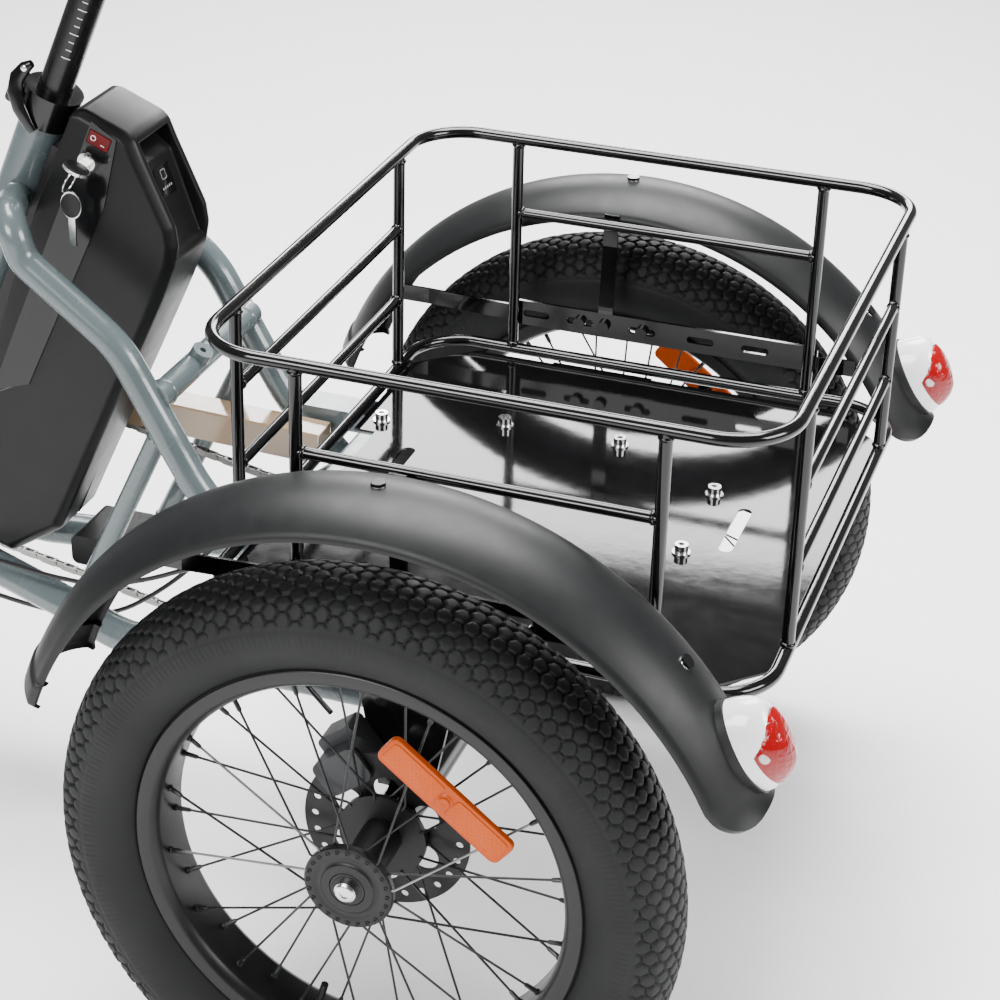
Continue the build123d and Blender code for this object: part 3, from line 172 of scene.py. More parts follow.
case_plastic = surface("case_plastic", (0.0035, 0.0035, 0.0038), 0.4, specular=0.22, mottle=0.15, grain=1500,
                       grain_depth=0.00012)
trim_gloss = surface("trim_gloss", (0.004, 0.004, 0.0043), 0.16, coat=0.1, specular=0.3, mottle=0.2)
trim_grey = surface("trim_grey", (0.012, 0.012, 0.013), 0.25, coat=0.3, mottle=0.15, grain=1200)
mark_grey = surface("mark_grey", (0.22, 0.22, 0.23), 0.4, mottle=0.1)
switch_red = surface("switch_red", (0.10, 0.0, 0.001), 0.3, specular=0.2, mottle=0.1)
clamp_gloss = surface("clamp_gloss", (0.003, 0.003, 0.0034), 0.14, specular=0.4, mottle=0.2, grain=1400)
post_satin = surface("post_satin", (0.004, 0.004, 0.0043), 0.27, specular=0.35, mottle=0.15, grain=1500)
plastic_black = surface("plastic_black", (0.007, 0.007, 0.0075), 0.45, specular=0.3, mottle=0.15, grain=1300,
                        grain_depth=0.0001)
grip_rubber = surface("grip_rubber", (0.018, 0.018, 0.018), 0.68, mottle=0.2, grain=1500, grain_depth=0.0002)
saddle_cover = surface("saddle_cover", (0.014, 0.014, 0.015), 0.5, mottle=0.2, grain=420, grain_depth=0.0005,
                       coat=0.05)
guard_smoked = surface("guard_smoked", (0.24, 0.165, 0.10), 0.22, coat=0.5, mottle=0.08, grain=500)
cable_skin = surface("cable_skin", (0.009, 0.009, 0.01), 0.34, mottle=0.2, grain=1800)

node_materials = {
    "drive_axle": bright_steel, "axle_housings": clamp_gloss, "rear_calipers": brake_metal,
    "fender_stays": basket_paint, "fender_bolts": clamp_gloss, "basket_floor": floor_paint,
    "basket_bolts": bright_steel, "main_frame": frame_paint, "rear_frame": frame_paint,
    "seat_post": post_satin, "seat_clamp": clamp_gloss,
    "saddle_base": plastic_black, "battery_panel": trim_gloss,
    "battery_lock": bright_steel, "power_switch": switch_red, "battery_keys": bright_steel,
    "battery_mount": plastic_black, "controller_box": plastic_black, "crankset": hub_paint,
    "pedal_left": plastic_black, "pedal_right": plastic_black, "cassette": worn_steel,
    "jockey_upper": plastic_black, "jockey_lower": plastic_black, "derailleur": brake_metal,
    "chain_guard": guard_smoked, "rear_brake_cables": cable_skin, "fork": frame_paint,
    "front_caliper": brake_metal, "headset": bright_steel, "handlebar": post_satin, "grips": grip_rubber,
    "throttle": grip_rubber, "brake_lever_left": clamp_gloss, "brake_lever_right": clamp_gloss,
    "bar_controls": plastic_black, "shift_lever": plastic_black, "headlight": plastic_black,
    "hub_front": hub_paint, "hub_rear_left": hub_paint, "hub_rear_right": hub_paint,
}
for node, made in node_materials.items():
    for material_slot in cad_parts[node].material_slots:
        material_slot.material = made


# ---- mesh helpers ----
def add_mesh(name, mesh, made, body, node=None, sharp_deg=35.0):
    """An object that shows a mesh in one material, rides on a body and may stand for a CAD node."""
    if not mesh.materials:
        mesh.materials.append(made)
        for face in mesh.polygons:
            face.use_smooth = True
        mesh.set_sharp_from_angle(angle=math.radians(sharp_deg))
    piece = bpy.data.objects.new(name, mesh)
    bpy.context.collection.objects.link(piece)
    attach(piece, body)
    if node:
        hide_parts(node)
    return piece


def circle(count):
    """The cosine and sine of evenly spaced angles round a full turn."""
    return [(math.cos(2 * math.pi * k / count), math.sin(2 * math.pi * k / count)) for k in range(count)]


class Shape:
    """Points and faces of several closed forms that become one piece."""

    def __init__(self):
        self.verts = []
        self.faces = []

    def loft(self, rings, loop=False):
        """Skin closed rings of equal length; the end rings are filled unless the row is a loop."""
        base = len(self.verts)
        rows, columns = len(rings), len(rings[0])
        self.verts += [Vector(v) for ring in rings for v in ring]
        for row in range(rows if loop else rows - 1):
            here = base + row * columns
            below = base + (row + 1) % rows * columns
            for column in range(columns):
                beside = (column + 1) % columns
                self.faces.append((here + column, here + beside, below + beside, below + column))
        if not loop:
            self.faces.append(tuple(range(base, base + columns))[::-1])
            self.faces.append(tuple(range(base + (rows - 1) * columns, base + rows * columns)))

    def lathe(self, origin, axis, profile, segments, closed=False):
        """Turn a profile of (along, radius) in millimetres about an axis."""
        axis = Vector(axis).normalized()
        side = axis.orthogonal().normalized()
        other = axis.cross(side)
        rings = []
        for along, radius in profile:
            rings.append([origin + axis * (along / 1000) + (side * c + other * s) * (max(radius, 0.01) / 1000)
                          for c, s in circle(segments)])
        self.loft(rings, closed)

    def tube(self, points, radius, fillet=0.0, sides=14, loop=False):
        """A round bar along points in metres, with rounded corners; sizes in millimetres."""
        path = rounded(points, fillet, loop)
        rings = []
        count = len(path)
        normal = None
        for index, here in enumerate(path):
            before = path[index - 1] if index or loop else here
            after = path[(index + 1) % count] if index + 1 < count or loop else here
            tangent = (after - before).normalized()
            if normal is None:
                normal = tangent.orthogonal().normalized()
            normal = (normal - tangent * normal.dot(tangent)).normalized()
            other = tangent.cross(normal)
            rings.append([here + (normal * c + other * s) * (radius / 1000) for c, s in circle(sides)])
        self.loft(rings, loop)

    def prism(self, origin, x_dir, y_dir, outline, depth, bevel=0.0):
        """Raise an outline in millimetres by a depth, with a small bevel round the top."""
        x_dir = Vector(x_dir).normalized()
        y_dir = Vector(y_dir).normalized()
        z_dir = x_dir.cross(y_dir)
        middle_x = sum(p[0] for p in outline) / len(outline)
        middle_y = sum(p[1] for p in outline) / len(outline)
        rings = []
        for height, inset in ((0, 0), (depth - bevel, 0), (depth - 0.3 * bevel, 0.3 * bevel), (depth, bevel)):
            if bevel == 0 and height == depth and len(rings) > 1:
                continue
            ring = []
            for x, y in outline:
                reach = math.hypot(x - middle_x, y - middle_y) or 1
                shrink = 1 - inset / reach
                ring.append(origin + x_dir * ((middle_x + (x - middle_x) * shrink) / 1000)
                            + y_dir * ((middle_y + (y - middle_y) * shrink) / 1000) + z_dir * (height / 1000))
            rings.append(ring)
        self.loft(rings)

    def mesh(self, name):
        """The mesh of the whole shape."""
        mesh = bpy.data.meshes.new(name)
        mesh.from_pydata([tuple(v) for v in self.verts], [], self.faces)
        mesh.update()
        return mesh

    def piece(self, name, made, body, slot, node=None, sharp_deg=35.0):
        """The shape as one object."""
        mesh = self.mesh(name)
        mesh.validate()
        mesh.update()
        return add_mesh(name, mesh, made, body, node, sharp_deg)


def rounded(points, fillet, loop=False):
    """A path through points, in metres, whose corners are arcs with a radius in millimetres."""
    points = [Vector(p) for p in points]
    count = len(points)
    path = []
    for index, here in enumerate(points):
        if not loop and index in (0, count - 1):
            path.append(here)
            continue
        to_before = (points[index - 1] - here).normalized()
        to_after = (points[(index + 1) % count] - here).normalized()
        size = fillet / 1000
        half = to_before.angle(to_after) / 2
        if size <= 0 or half > math.radians(89.5):
            path.append(here)
            continue
        middle = here + (to_before + to_after).normalized() * (size / math.sin(half))
        start = here + to_before * (size / math.tan(half)) - middle
        end = here + to_after * (size / math.tan(half)) - middle
        turn = start.angle(end)
        steps = max(3, int(math.degrees(turn) / 7))
        for step in range(steps + 1):
            part = step / steps
            path.append(middle + (start * math.sin((1 - part) * turn) + end * math.sin(part * turn))
                        / math.sin(turn))
    return path


def arc3(first, middle, last, steps):
    """Points on the arc through three points in a plane."""
    (ax, ay), (bx, by), (cx, cy) = first, middle, last
    a, b, c = (x * x + y * y for x, y in (first, middle, last))
    d = 2 * (ax * (by - cy) + bx * (cy - ay) + cx * (ay - by))
    ux = (a * (by - cy) + b * (cy - ay) + c * (ay - by)) / d
    uy = (a * (cx - bx) + b * (ax - cx) + c * (bx - ax)) / d
    radius = math.hypot(ax - ux, ay - uy)
    angles = [math.atan2(y - uy, x - ux) for x, y in (first, middle, last)]
    span = (angles[2] - angles[0]) % (2 * math.pi)
    if (angles[1] - angles[0]) % (2 * math.pi) > span:
        span -= 2 * math.pi
    turns = [angles[0] + span * k / steps for k in range(steps + 1)]
    return [(ux + radius * math.cos(turn), uy + radius * math.sin(turn)) for turn in turns]


# ---- tyres: a lathed casing with scale-shaped tread blocks cut into it ----
tyre_radius = 292.0
tyre_steps = 1296
tread_rows = 144
block_width = 16.0
groove_half = 1.25
groove_depth = 2.0


def even_profile(points, spacing):
    """Resample a profile at an even spacing."""
    points = np.array(points)
    gaps = np.hypot(*np.diff(points, axis=0).T)
    along = np.concatenate([[0], np.cumsum(gaps)])
    places = np.linspace(0, along[-1], int(along[-1] / spacing) + 1)
    return np.stack([np.interp(places, along, points[:, 0]), np.interp(places, along, points[:, 1])], axis=1)


def tyre_mesh():
    """The tyre round the origin, its axle along Y."""
    outer = arc3((28, 211), (49, 246), (39, 279), 24)
    outer += arc3((39, 279), (0, tyre_radius), (-39, 279), 40)[1:]
    outer += arc3((-39, 279), (-49, 246), (-28, 211), 24)[1:]
    outer = even_profile(outer, 1.55)
    inner = np.array([(-28.3, 204.2), (-23, 204.2), (-24, 212), (-43, 246), (-35, 273), (0, 285), (35, 273),
                      (43, 246), (24, 212), (23, 204.2), (28.3, 204.2)])
    gaps = np.hypot(*np.diff(outer, axis=0).T)
    across = np.concatenate([[0], np.cumsum(gaps)])
    across -= across[-1] / 2
    tangent = np.gradient(outer, axis=0)
    normal = np.stack([-tangent[:, 1], tangent[:, 0]], axis=1)
    normal /= np.linalg.norm(normal, axis=1)[:, None]
    if normal[len(normal) // 2, 1] < 0:
        normal = -normal
    turn = np.arange(tyre_steps) * 2 * math.pi / tyre_steps
    pitch = 2 * math.pi * tyre_radius / tread_rows
    run, side = np.meshgrid(turn * tyre_radius, across, indexing="ij")
    row = np.floor(run / pitch)
    nearest = []
    for row_step in (-1, 0, 1, 2):
        here = row + row_step
        shift = np.where(np.mod(here, 2) == 0, 0.0, 0.5) * block_width
        column = np.round((side - shift) / block_width)
        for column_step in (-1, 0, 1):
            place = (column + column_step) * block_width + shift
            bend = 0.16 * np.abs(place - side)
            nearest.append(np.hypot((run - here * pitch + bend * 0.8), (side - place)))
    nearest = np.sort(np.array(nearest), axis=0)
    edge = (nearest[1] - nearest[0]) / 2
    groove = np.clip(1.45 - edge / groove_half, 0, 1)
    groove = groove * groove * (3 - 2 * groove)
    dish = np.clip(1 - edge / 5.0, 0, 1) * 0.35
    shoulder = np.clip((63 - np.abs(side)) / 5.0, 0, 1)
    cut = (groove * groove_depth + dish) * shoulder
    ribs = 0.25 * (np.cos(run / pitch * 4 * math.pi) > 0.2) * (np.abs(side) > 66) * (np.abs(side) < 80)
    step_line = 0.7 * np.exp(-((np.abs(side) - 64.5) / 1.4) ** 2)
    cut = cut + ribs + step_line
    y, radius = (np.concatenate([outer[:, k] - normal[:, k] * cut,
                                 np.repeat(inner[None, :, k], tyre_steps, axis=0)], axis=1) for k in (0, 1))
    columns = y.shape[1]
    points = np.stack([radius * np.sin(turn)[:, None], y, radius * np.cos(turn)[:, None]], axis=2)
    points = points.reshape(-1, 3) / 1000
    rows = np.arange(tyre_steps)[:, None]
    cols = np.arange(columns)[None, :]
    below = (rows + 1) % tyre_steps
    beside = (cols + 1) % columns
    quads = np.stack([rows * columns + cols, rows * columns + beside, below * columns + beside,
                      below * columns + cols], axis=2).reshape(-1, 4)[:, ::-1]
    mesh = bpy.data.meshes.new("tyre")
    mesh.vertices.add(len(points))
    mesh.vertices.foreach_set("co", points.ravel())
    mesh.loops.add(quads.size)
    mesh.loops.foreach_set("vertex_index", quads.ravel())
    mesh.polygons.add(len(quads))
    mesh.polygons.foreach_set("loop_start", np.arange(0, quads.size, 4))
    mesh.polygons.foreach_set("loop_total", np.full(len(quads), 4))
    mesh.update()
    mesh.validate()
    return mesh


def wheel_point(y, angle, radius):
    """A point of a wheel at the origin, at an angle forwards of straight up, in metres."""
    return Vector((radius * math.sin(math.radians(angle)), y, radius * math.cos(math.radians(angle)))) / 1000


# ---- rim, spokes and nipples, round the origin ----
rim_shape = Shape()
rim_profile = [(-32, 209.5), (-31.4, 210.3), (-30.4, 210.1), (-30, 209), (-29, 203.5), (-20, 203), (-15, 197),
               (15, 197), (20, 203), (29, 203.5), (30, 209), (30.4, 210.1), (31.4, 210.3), (32, 209.5),
               (31.6, 199.5), (30.2, 196.6), (24, 192.2), (21, 191), (-21, 191), (-24, 192.2), (-30.2, 196.6),
               (-31.6, 199.5)]
rim_shape.lathe(Vector(), y_axis, rim_profile, 240, closed=True)
dark_spokes = Shape()
glint_painted_spokes = Shape()
nipples = Shape()
for flange in (1, -1):
    for lead in (1, -1):
        at_hub = 5.0 * (1 - flange) + 10.0 * (1 - lead)
        for index in range(9):
            turn = 40.0 * index
            inside = wheel_point(flange * 40 + 3.4 * lead, at_hub + turn, 38.5)
            start = wheel_point(flange * 40 + 1.7 * lead, at_hub + turn, 43.4)
            end = wheel_point(flange * 8 + 1.7 * lead, at_hub + turn + 20.0 * lead, 190.6)
            # the two spokes of this family that lie in line across the hub get the grey metal as a painted
            # glint
            target = glint_painted_spokes if flange == 1 and lead == 1 and index in (2, 7) else dark_spokes
            target.tube([inside, start, end], 1.15, 3.0, sides=8)
            direction = (end - start).normalized()
            nipples.lathe(end, -direction, [(-0.5, 3.2), (1.5, 3.2), (2.2, 2.3), (12, 2.2), (14, 1.5)], 10)

# ---- hub trim: a flange cover with spoke holes, a grooved cap and the axle bolt ----
cap_shape = Shape()
bolt_shape = Shape()
cap_profile = [(42.5, 41.5), (44.2, 41.0), (44.8, 39.5), (44.8, 33), (44.2, 31.5), (43.6, 28), (44.6, 25.5),
               (46.0, 24.5), (46.4, 17), (45.2, 16), (45.2, 14.2), (46.4, 13.2), (46.4, 9.4), (42.5, 9.2)]
cap_shape.lathe(Vector(), y_axis, cap_profile, 96, closed=True)
for index in range(24):
    place = wheel_point(44.4, 15.0 * index, 37.2)
    cap_shape.lathe(place, y_axis, [(-1, 2.3), (0.9, 2.3), (1.3, 1.9), (0.9, 1.2), (0.2, 0.9)], 10)
bolt_profile = [(0, 9.4), (1.2, 9.4), (2.0, 8.6), (2.6, 7.2), (2.8, 4.6), (1.2, 4.2), (1.0, 0.2)]
bolt_shape.lathe(y_axis * 0.0512, y_axis, bolt_profile, 24)

# ---- reflector: a bevelled amber bar with two prism panels, a centre screw and clips ----
reflector_angle = -38.0
reflector_bar = Shape()
reflector_panels = Shape()
reflector_screw = Shape()
bar_middle = wheel_point(33, reflector_angle, 140)
bar_along = wheel_point(0, reflector_angle + 90, 1000)
bar_radial = wheel_point(0, reflector_angle, 1000)


def round_box(half_x, half_y, corner, steps=6):
    """The outline of a rectangle with rounded corners."""
    points = []
    for cx, cy, first in ((half_x - corner, half_y - corner, 0), (corner - half_x, half_y - corner, 90),
                          (corner - half_x, corner - half_y, 180), (half_x - corner, corner - half_y, 270)):
        for step in range(steps + 1):
            angle = math.radians(first + 90 * step / steps)
            points.append((cx + corner * math.cos(angle), cy + corner * math.sin(angle)))
    return points


span_x = bar_along if bar_along.cross(bar_radial).dot(y_axis) > 0 else -bar_along
reflector_bar.prism(bar_middle, span_x, bar_radial, round_box(69.5, 15, 7), 5.6, 1.6)
for side in (1, -1):
    centre = bar_middle + span_x * (side * 0.036) + y_axis * 0.0050
    reflector_panels.prism(centre, span_x, bar_radial, round_box(29, 11.5, 4), 1.5, 0.6)
    clip = bar_middle + span_x * (side * 0.020) - y_axis * 0.004
    reflector_screw.prism(clip, span_x, bar_radial, round_box(3.5, 10, 2), 4.2, 0.4)
screw_profile = [(0, 8), (5.8, 8), (6.9, 6.6), (7.2, 5.4), (8.6, 5.2), (8.9, 4.2), (8.3, 2.2), (8.0, 0.2)]
reflector_screw.lathe(bar_middle, y_axis, screw_profile, 20)

# ---- valve ----
valve_shape = Shape()
valve_shape.tube([wheel_point(0, 165, radius) for radius in (196, 172, 158)], 3.6, sides=10)

# ---- the three wheels, from shared meshes ----
shared = {"tyre": tyre_mesh()}
for name, shape in (("rim", rim_shape), ("dark_spokes", dark_spokes), ("glint_painted_spokes", glint_painted_spokes),
                    ("nipples", nipples), ("hub_cap", cap_shape), ("axle_bolt", bolt_shape),
                    ("reflector_bar", reflector_bar), ("reflector_panels", reflector_panels),
                    ("reflector_screw", reflector_screw), ("valve", valve_shape)):
    shared[name] = shape.mesh(name)

for wheel in ("rear_left", "rear_right", "front"):
    low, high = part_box(f"tyre_{wheel}")
    centre = Vector([(a + b) / 2 for a, b in zip(low, high)])
    body = f"wheel_{wheel}"
    for part, made, slot, node in (
            ("tyre", tyre_rubber, "tyre", f"tyre_{wheel}"),
            ("rim", rim_paint, "rim_black", f"spoked_rim_{wheel}"),
            ("dark_spokes", spoke_black, "rim_black", None),
            ("glint_painted_spokes", spoke_painted_glint, "rim_black", None),
            ("nipples", spoke_black, "rim_black", None),
            ("hub_cap", hub_paint, "hub_metal", None),
            ("axle_bolt", bright_steel, "bright_steel", None),
            ("reflector_bar", amber_smooth, "reflector_amber", f"reflector_{wheel}"),
            ("reflector_panels", amber, "reflector_amber", None),
            ("reflector_screw", amber_smooth, "reflector_amber", None),
            ("valve", plastic_black, "tyre", None)):
        if part == "axle_bolt" and wheel == "front":
            continue
        mesh = shared[part]
        if part not in ("tyre", "rim") and wheel != "rear_left":
            mesh = mesh.copy()
            for vertex in mesh.vertices:
                vertex.co.y = -vertex.co.y
            mesh.flip_normals()
        piece = add_mesh(f"{part}_{wheel}", mesh, made, body, node)
        piece.location = centre


# ---- fenders: a domed skin with rolled lips, a rounded tail and a front cap ----
fender_depth = 24.0


def fender_shapes(centre_x, y, centre_z, radius, half_width, first_deg, last_deg, flare, tail_round):
    """The skin and the cap of one fender round a point."""
    path = []
    for step in range(151):
        angle = math.radians(first_deg + (last_deg - first_deg) * step / 150)
        path.append((centre_x + radius * math.cos(angle), centre_z + radius * math.sin(angle),
                     math.cos(angle), math.sin(angle)))
    if flare:
        turn_deg, turn_radius = flare
        x, z, nx, nz = path[-1]
        middle = (x + nx * turn_radius, z + nz * turn_radius)
        for step in range(1, 25):
            angle = math.radians(last_deg + 180 - turn_deg * step / 24)
            path.append((middle[0] + turn_radius * math.cos(angle), middle[1] + turn_radius * math.sin(angle),
                         -math.cos(angle), -math.sin(angle)))
    along = [0.0]
    for first, second in zip(path, path[1:]):
        along.append(along[-1] + math.hypot(second[0] - first[0], second[1] - first[1]))

    def section(half, depth, wall, lip):
        dome = arc3((-half, depth), (0, 0), (half, depth), 22)
        inner_half = half - wall
        inner = arc3((inner_half, depth + 1), (0, wall), (-inner_half, depth + 1), 22)
        outer_lip = [(half, depth + lip * 0.6), (half - 0.5, depth + lip), (inner_half, depth + lip)]
        back_lip = [(-inner_half, depth + lip), (0.5 - half, depth + lip), (-half, depth + lip * 0.6)]
        return dome + outer_lip + inner + back_lip

    skin = Shape()
    rings = []
    total = along[-1]
    for (x, z, nx, nz), place in zip(path, along):
        left = total - place
        half = half_width
        if left < tail_round:
            half += math.sqrt(tail_round ** 2 - (tail_round - left) ** 2) - tail_round
        depth = fender_depth * (half / half_width) ** 2
        rings.append([spot(x - nx * d, y + w, z - nz * d) for w, d in section(half, depth, 2.6, 6)])
    skin.loft(rings)
    cap = Shape()
    rings = []
    for step in range(13):
        angle = math.radians(first_deg - 1 + 5 * step / 12)
        edge = min(step, 12 - step)
        grow = -1.5 if edge == 0 else (1.2 if edge == 1 else 2.0)
        nx, nz = math.cos(angle), math.sin(angle)
        size = radius + grow
        rings.append([spot(centre_x + size * nx - nx * d, y + w, centre_z + size * nz - nz * d)
                      for w, d in section(half_width + grow, fender_depth, 5.5, 7)])
    cap.loft(rings)
    return skin, cap


fender_centre = (-12.0, 300.0)
fender_y = 376.0
fender_radius = 360.0
front_x = 1180.0
for side, name in ((1, "left"), (-1, "right")):
    skin, cap = fender_shapes(fender_centre[0], side * fender_y, fender_centre[1], fender_radius,
                              57.0, 19.0, 155.0, (22.0, 62.0), 34.0)
    skin.piece(f"fender_skin_{name}", fender_paint, "chassis", "fender_paint", f"fender_rear_{name}", 50)
    cap.piece(f"fender_cap_{name}", plastic_black, "chassis", "black_plastic", None, 50)
skin, cap = fender_shapes(front_x, 0, 292.0, 322.0, 56.0, 38.0, 178.0, None, 0)
skin.piece("fender_skin_front", fender_paint, "steering", "fender_paint", "fender_front", 50)
cap.piece("fender_cap_front", plastic_black, "steering", "black_plastic", None, 50)


def crown_frame(angle_deg, side, lift=0.0):
    """A point on a rear fender's crown with its outward and tailward directions."""
    angle = math.radians(angle_deg)
    out = Vector((math.cos(angle), 0, math.sin(angle)))
    tailward = Vector((-math.sin(angle), 0, math.cos(angle)))
    reach = fender_radius + lift
    place = spot(fender_centre[0] + reach * out.x, side * fender_y, fender_centre[1] + reach * out.z)
    return place, out, tailward


# ---- fender screws: domed heads with a round socket ----
screws = Shape()
for side in (1, -1):
    for angle in (88.5, 136.0):
        place, out, tailward = crown_frame(angle, side)
        head = [(-0.5, 6.6), (0.6, 6.6), (1.8, 6.0), (2.8, 4.6), (3.2, 3.0), (1.4, 2.8), (1.3, 0.1)]
        screws.lathe(place, out, head, 18)
screws.piece("fender_screws", bright_steel, "chassis", "bright_steel")


# ---- tail lights ----
def pointed_oval(half_width, back_reach, front_reach):
    """An oval that narrows to a blunt point at its tail end."""
    return [(half_width * (1 - 0.35 * max(0.0, s) ** 2) * c, (back_reach if s > 0 else front_reach) * s)
            for c, s in circle(40)]


light_base = Shape()
light_body = Shape()
light_lens = Shape()
light_window = Shape()
for side in (1, -1):
    place, out, tailward = crown_frame(150.0, side, 0.2)
    flat_y = y_axis if y_axis.cross(tailward).dot(out) > 0 else -y_axis

    def light_ring(half_width, tail, head, height):
        """One level of a light, at a height above the crown."""
        return [place + flat_y * (x / 1000) + tailward * (y / 1000) + out * (height / 1000)
                for x, y in pointed_oval(half_width, tail, head)]

    light_base.loft([light_ring(26.4, 45, 46, -9), light_ring(26.4, 45, 46, 3), light_ring(25.6, 44, 45, 4)])
    light_body.loft([light_ring(25.4, 43.5, 44.6, 3.6), light_ring(24.9, 42.5, 44.4, 10),
                     light_ring(23.6, 38.5, 43.6, 18), light_ring(21.6, 33, 42, 25),
                     light_ring(18.6, 26, 39.6, 31), light_ring(14.5, 18, 36.5, 35),
                     light_ring(9, 10, 31, 37)])
    light_lens.loft([light_ring(24.2, 40.2, 2, 12.5), light_ring(23.6, 38.6, 12, 20),
                     light_ring(22.4, 35, 21, 27), light_ring(19.6, 29.5, 26.5, 34),
                     light_ring(15, 22.5, 27.5, 39.5), light_ring(8.5, 13, 22, 42.3)])
    for side_x in (1, -1):
        window = place + flat_y * (side_x * 0.0195) + tailward * 0.004 + out * 0.0235
        light_window.lathe(window, flat_y * side_x + out * 0.55,
                           [(-3, 5.4), (2.3, 5.4), (3.6, 4.4), (4.1, 2)], 18)
light_base.piece("tail_light_bases", plastic_black, "chassis", "black_plastic")
light_body.piece("tail_light_bodies", lamp_white, "chassis", "lamp_white", "tail_light_housings", 40)
light_window.piece("tail_light_windows", lamp_clear, "chassis", "lamp_white")
light_lens.piece("tail_light_covers", lamp_red, "chassis", "lamp_red", "tail_light_lenses", 28)


# ---- basket: smooth tubes with a weld bead at each joint ----
basket = Shape()
beads = Shape()
front, rear, half_y, top, bottom = 203.0, -322.0, 300.0, 717.0, 474.0
side_post_x, end_post_y, side_rail_z, end_rail_z = (104, -224), 205, 634, (636, 555)
hoop_bar, post_bar, rail_bar, bead_start = 6.35, 6.0, 5.4, 0.0054
for z in (top, bottom):
    corners = ((front, -half_y), (front, half_y), (rear, half_y), (rear, -half_y))
    basket.tube([spot(x, y, z) for x, y in corners], hoop_bar, 60.0, sides=18, loop=True)


def bead(place, axis, radius):
    """A low weld bead round the end of a tube."""
    profile = [(along, radius + lift) for along, lift in
               ((-0.4, 0.2), (0.4, 1.2), (1.6, 1.35), (2.8, 0.8), (3.6, 0.1), (3.6, -0.6), (-0.4, -0.6))]
    beads.lathe(place, axis, profile, 18, closed=True)


def welded(first, last, radius, sides):
    """A basket bar between two bars, with a bead at each end."""
    basket.tube([first, last], radius, sides=sides)
    way = (last - first).normalized()
    bead(first + way * bead_start, way, radius)
    bead(last - way * bead_start, -way, radius)


posts = [(x, y) for x in (front, rear) for y in (end_post_y, -end_post_y)]
posts += [(x, y) for x in side_post_x for y in (half_y, -half_y)]
for x, y in posts:
    welded(spot(x, y, bottom), spot(x, y, top), post_bar, 16)
for side in (1, -1):
    ends = [spot(x, side * half_y, side_rail_z) for x in side_post_x]
    welded(*ends, rail_bar, 14)
for x in (front, rear):
    for z in end_rail_z:
        welded(spot(x, end_post_y, z), spot(x, -end_post_y, z), rail_bar, 14)
basket.piece("basket_tubes", basket_paint, "chassis", "basket_paint", "basket_frame", 60)
beads.piece("basket_welds", basket_paint, "chassis", "basket_paint", None, 70)


# ---- battery: the case with its handle pocket, pale edge strips, seam and light panel ----
lean = math.radians(22.95)
seat_down = Vector((math.sin(lean), 0, -math.cos(lean)))
seat_back = Vector((-math.cos(lean), 0, -math.sin(lean)))
seat_top = spot(482, 0, 825)


def seat_spot(down, behind, y=0.0):
    """A point by its distance down the seat tube, behind its axis and left of it, in metres."""
    return seat_top + seat_down * (down / 1000) + seat_back * (behind / 1000) + Vector((0, y / 1000, 0))


# the case: a chamfered prism with the handle pocket cut out and its edges rounded
case_half = 46.5
case_flat = 38.0
case_chamfer = 9.0
pocket_half = 31.0
pocket_top, pocket_end = (20, 121), (84, 178)
pocket_line = [(-3, 112), (0, 92), (12, 88), pocket_top, pocket_end, (96, 215), (-3, 215)]


def case_ring(y, inset):
    """The case outline at a height above the middle plane, drawn in on its outer sides."""
    outline = [(-3 + 0.4 * inset, 39), (-9 + 0.8 * inset, 48), (-10 + 0.9 * inset, 96 - 0.2 * inset),
               (-7 + 0.9 * inset, 106 - 0.5 * inset), (8 + 0.6 * inset, 121 - 0.8 * inset),
               (57 + 0.3 * inset, 174 - 0.9 * inset), (74 + 0.1 * inset, 184 - inset), (96, 189 - inset),
               (136, 190 - inset), (448 - 0.3 * inset, 182 - inset), (508 - inset, 142 - 0.6 * inset),
               (516 - inset, 58), (150, 39)]
    return [seat_spot(s, t, y) for s, t in outline]


case_shape = Shape()
case_shape.loft([case_ring(-case_half, case_chamfer), case_ring(-case_flat, 0), case_ring(case_flat, 0),
                 case_ring(case_half, case_chamfer)])
pocket_shape = Shape()
pocket_shape.loft([[seat_spot(s, t, y) for s, t in pocket_line] for y in (-pocket_half, pocket_half)])
blocks = []
for name, shape in (("case_block", case_shape), ("case_pocket", pocket_shape)):
    mesh = shape.mesh(name)
    fix = bmesh.new()
    fix.from_mesh(mesh)
    bmesh.ops.recalc_face_normals(fix, faces=fix.faces)
    fix.to_mesh(mesh)
    fix.free()
    blocks.append(bpy.data.objects.new(name, mesh))
    bpy.context.collection.objects.link(blocks[-1])
case_block, pocket_block = blocks
cut = case_block.modifiers.new("pocket", "BOOLEAN")
cut.operation = "DIFFERENCE"
cut.solver = "EXACT"
cut.object = pocket_block
edge_round = case_block.modifiers.new("edges", "BEVEL")
edge_round.width = 0.0028
edge_round.segments = 3
edge_round.limit_method = "ANGLE"
edge_round.angle_limit = math.radians(12)
bpy.context.view_layer.update()
finished = bpy.data.meshes.new_from_object(case_block.evaluated_get(bpy.context.evaluated_depsgraph_get()))
for block in blocks:
    bpy.data.objects.remove(block)
finished.materials.clear()
add_mesh("battery_shell", finished, case_plastic, "battery", "battery_case", 25)


# a pale strip along each side face, and the joint between the two shells along the back
def case_ribbon(shape, outline, y, width, lift):
    """A thin raised strip along an outline on a side face of the case."""
    for (s1, t1), (s2, t2) in zip(outline, outline[1:]):
        a = seat_spot(s1, t1, y)
        b = seat_spot(s2, t2, y)
        along = (b - a).normalized()
        side = along.cross(y_axis).normalized() * (width / 2000)
        rise = y_axis * (lift / 1000)
        shape.loft([[p - side - rise, p + side - rise, p + side * 0.7 + rise, p - side * 0.7 + rise]
                    for p in (a, b)])


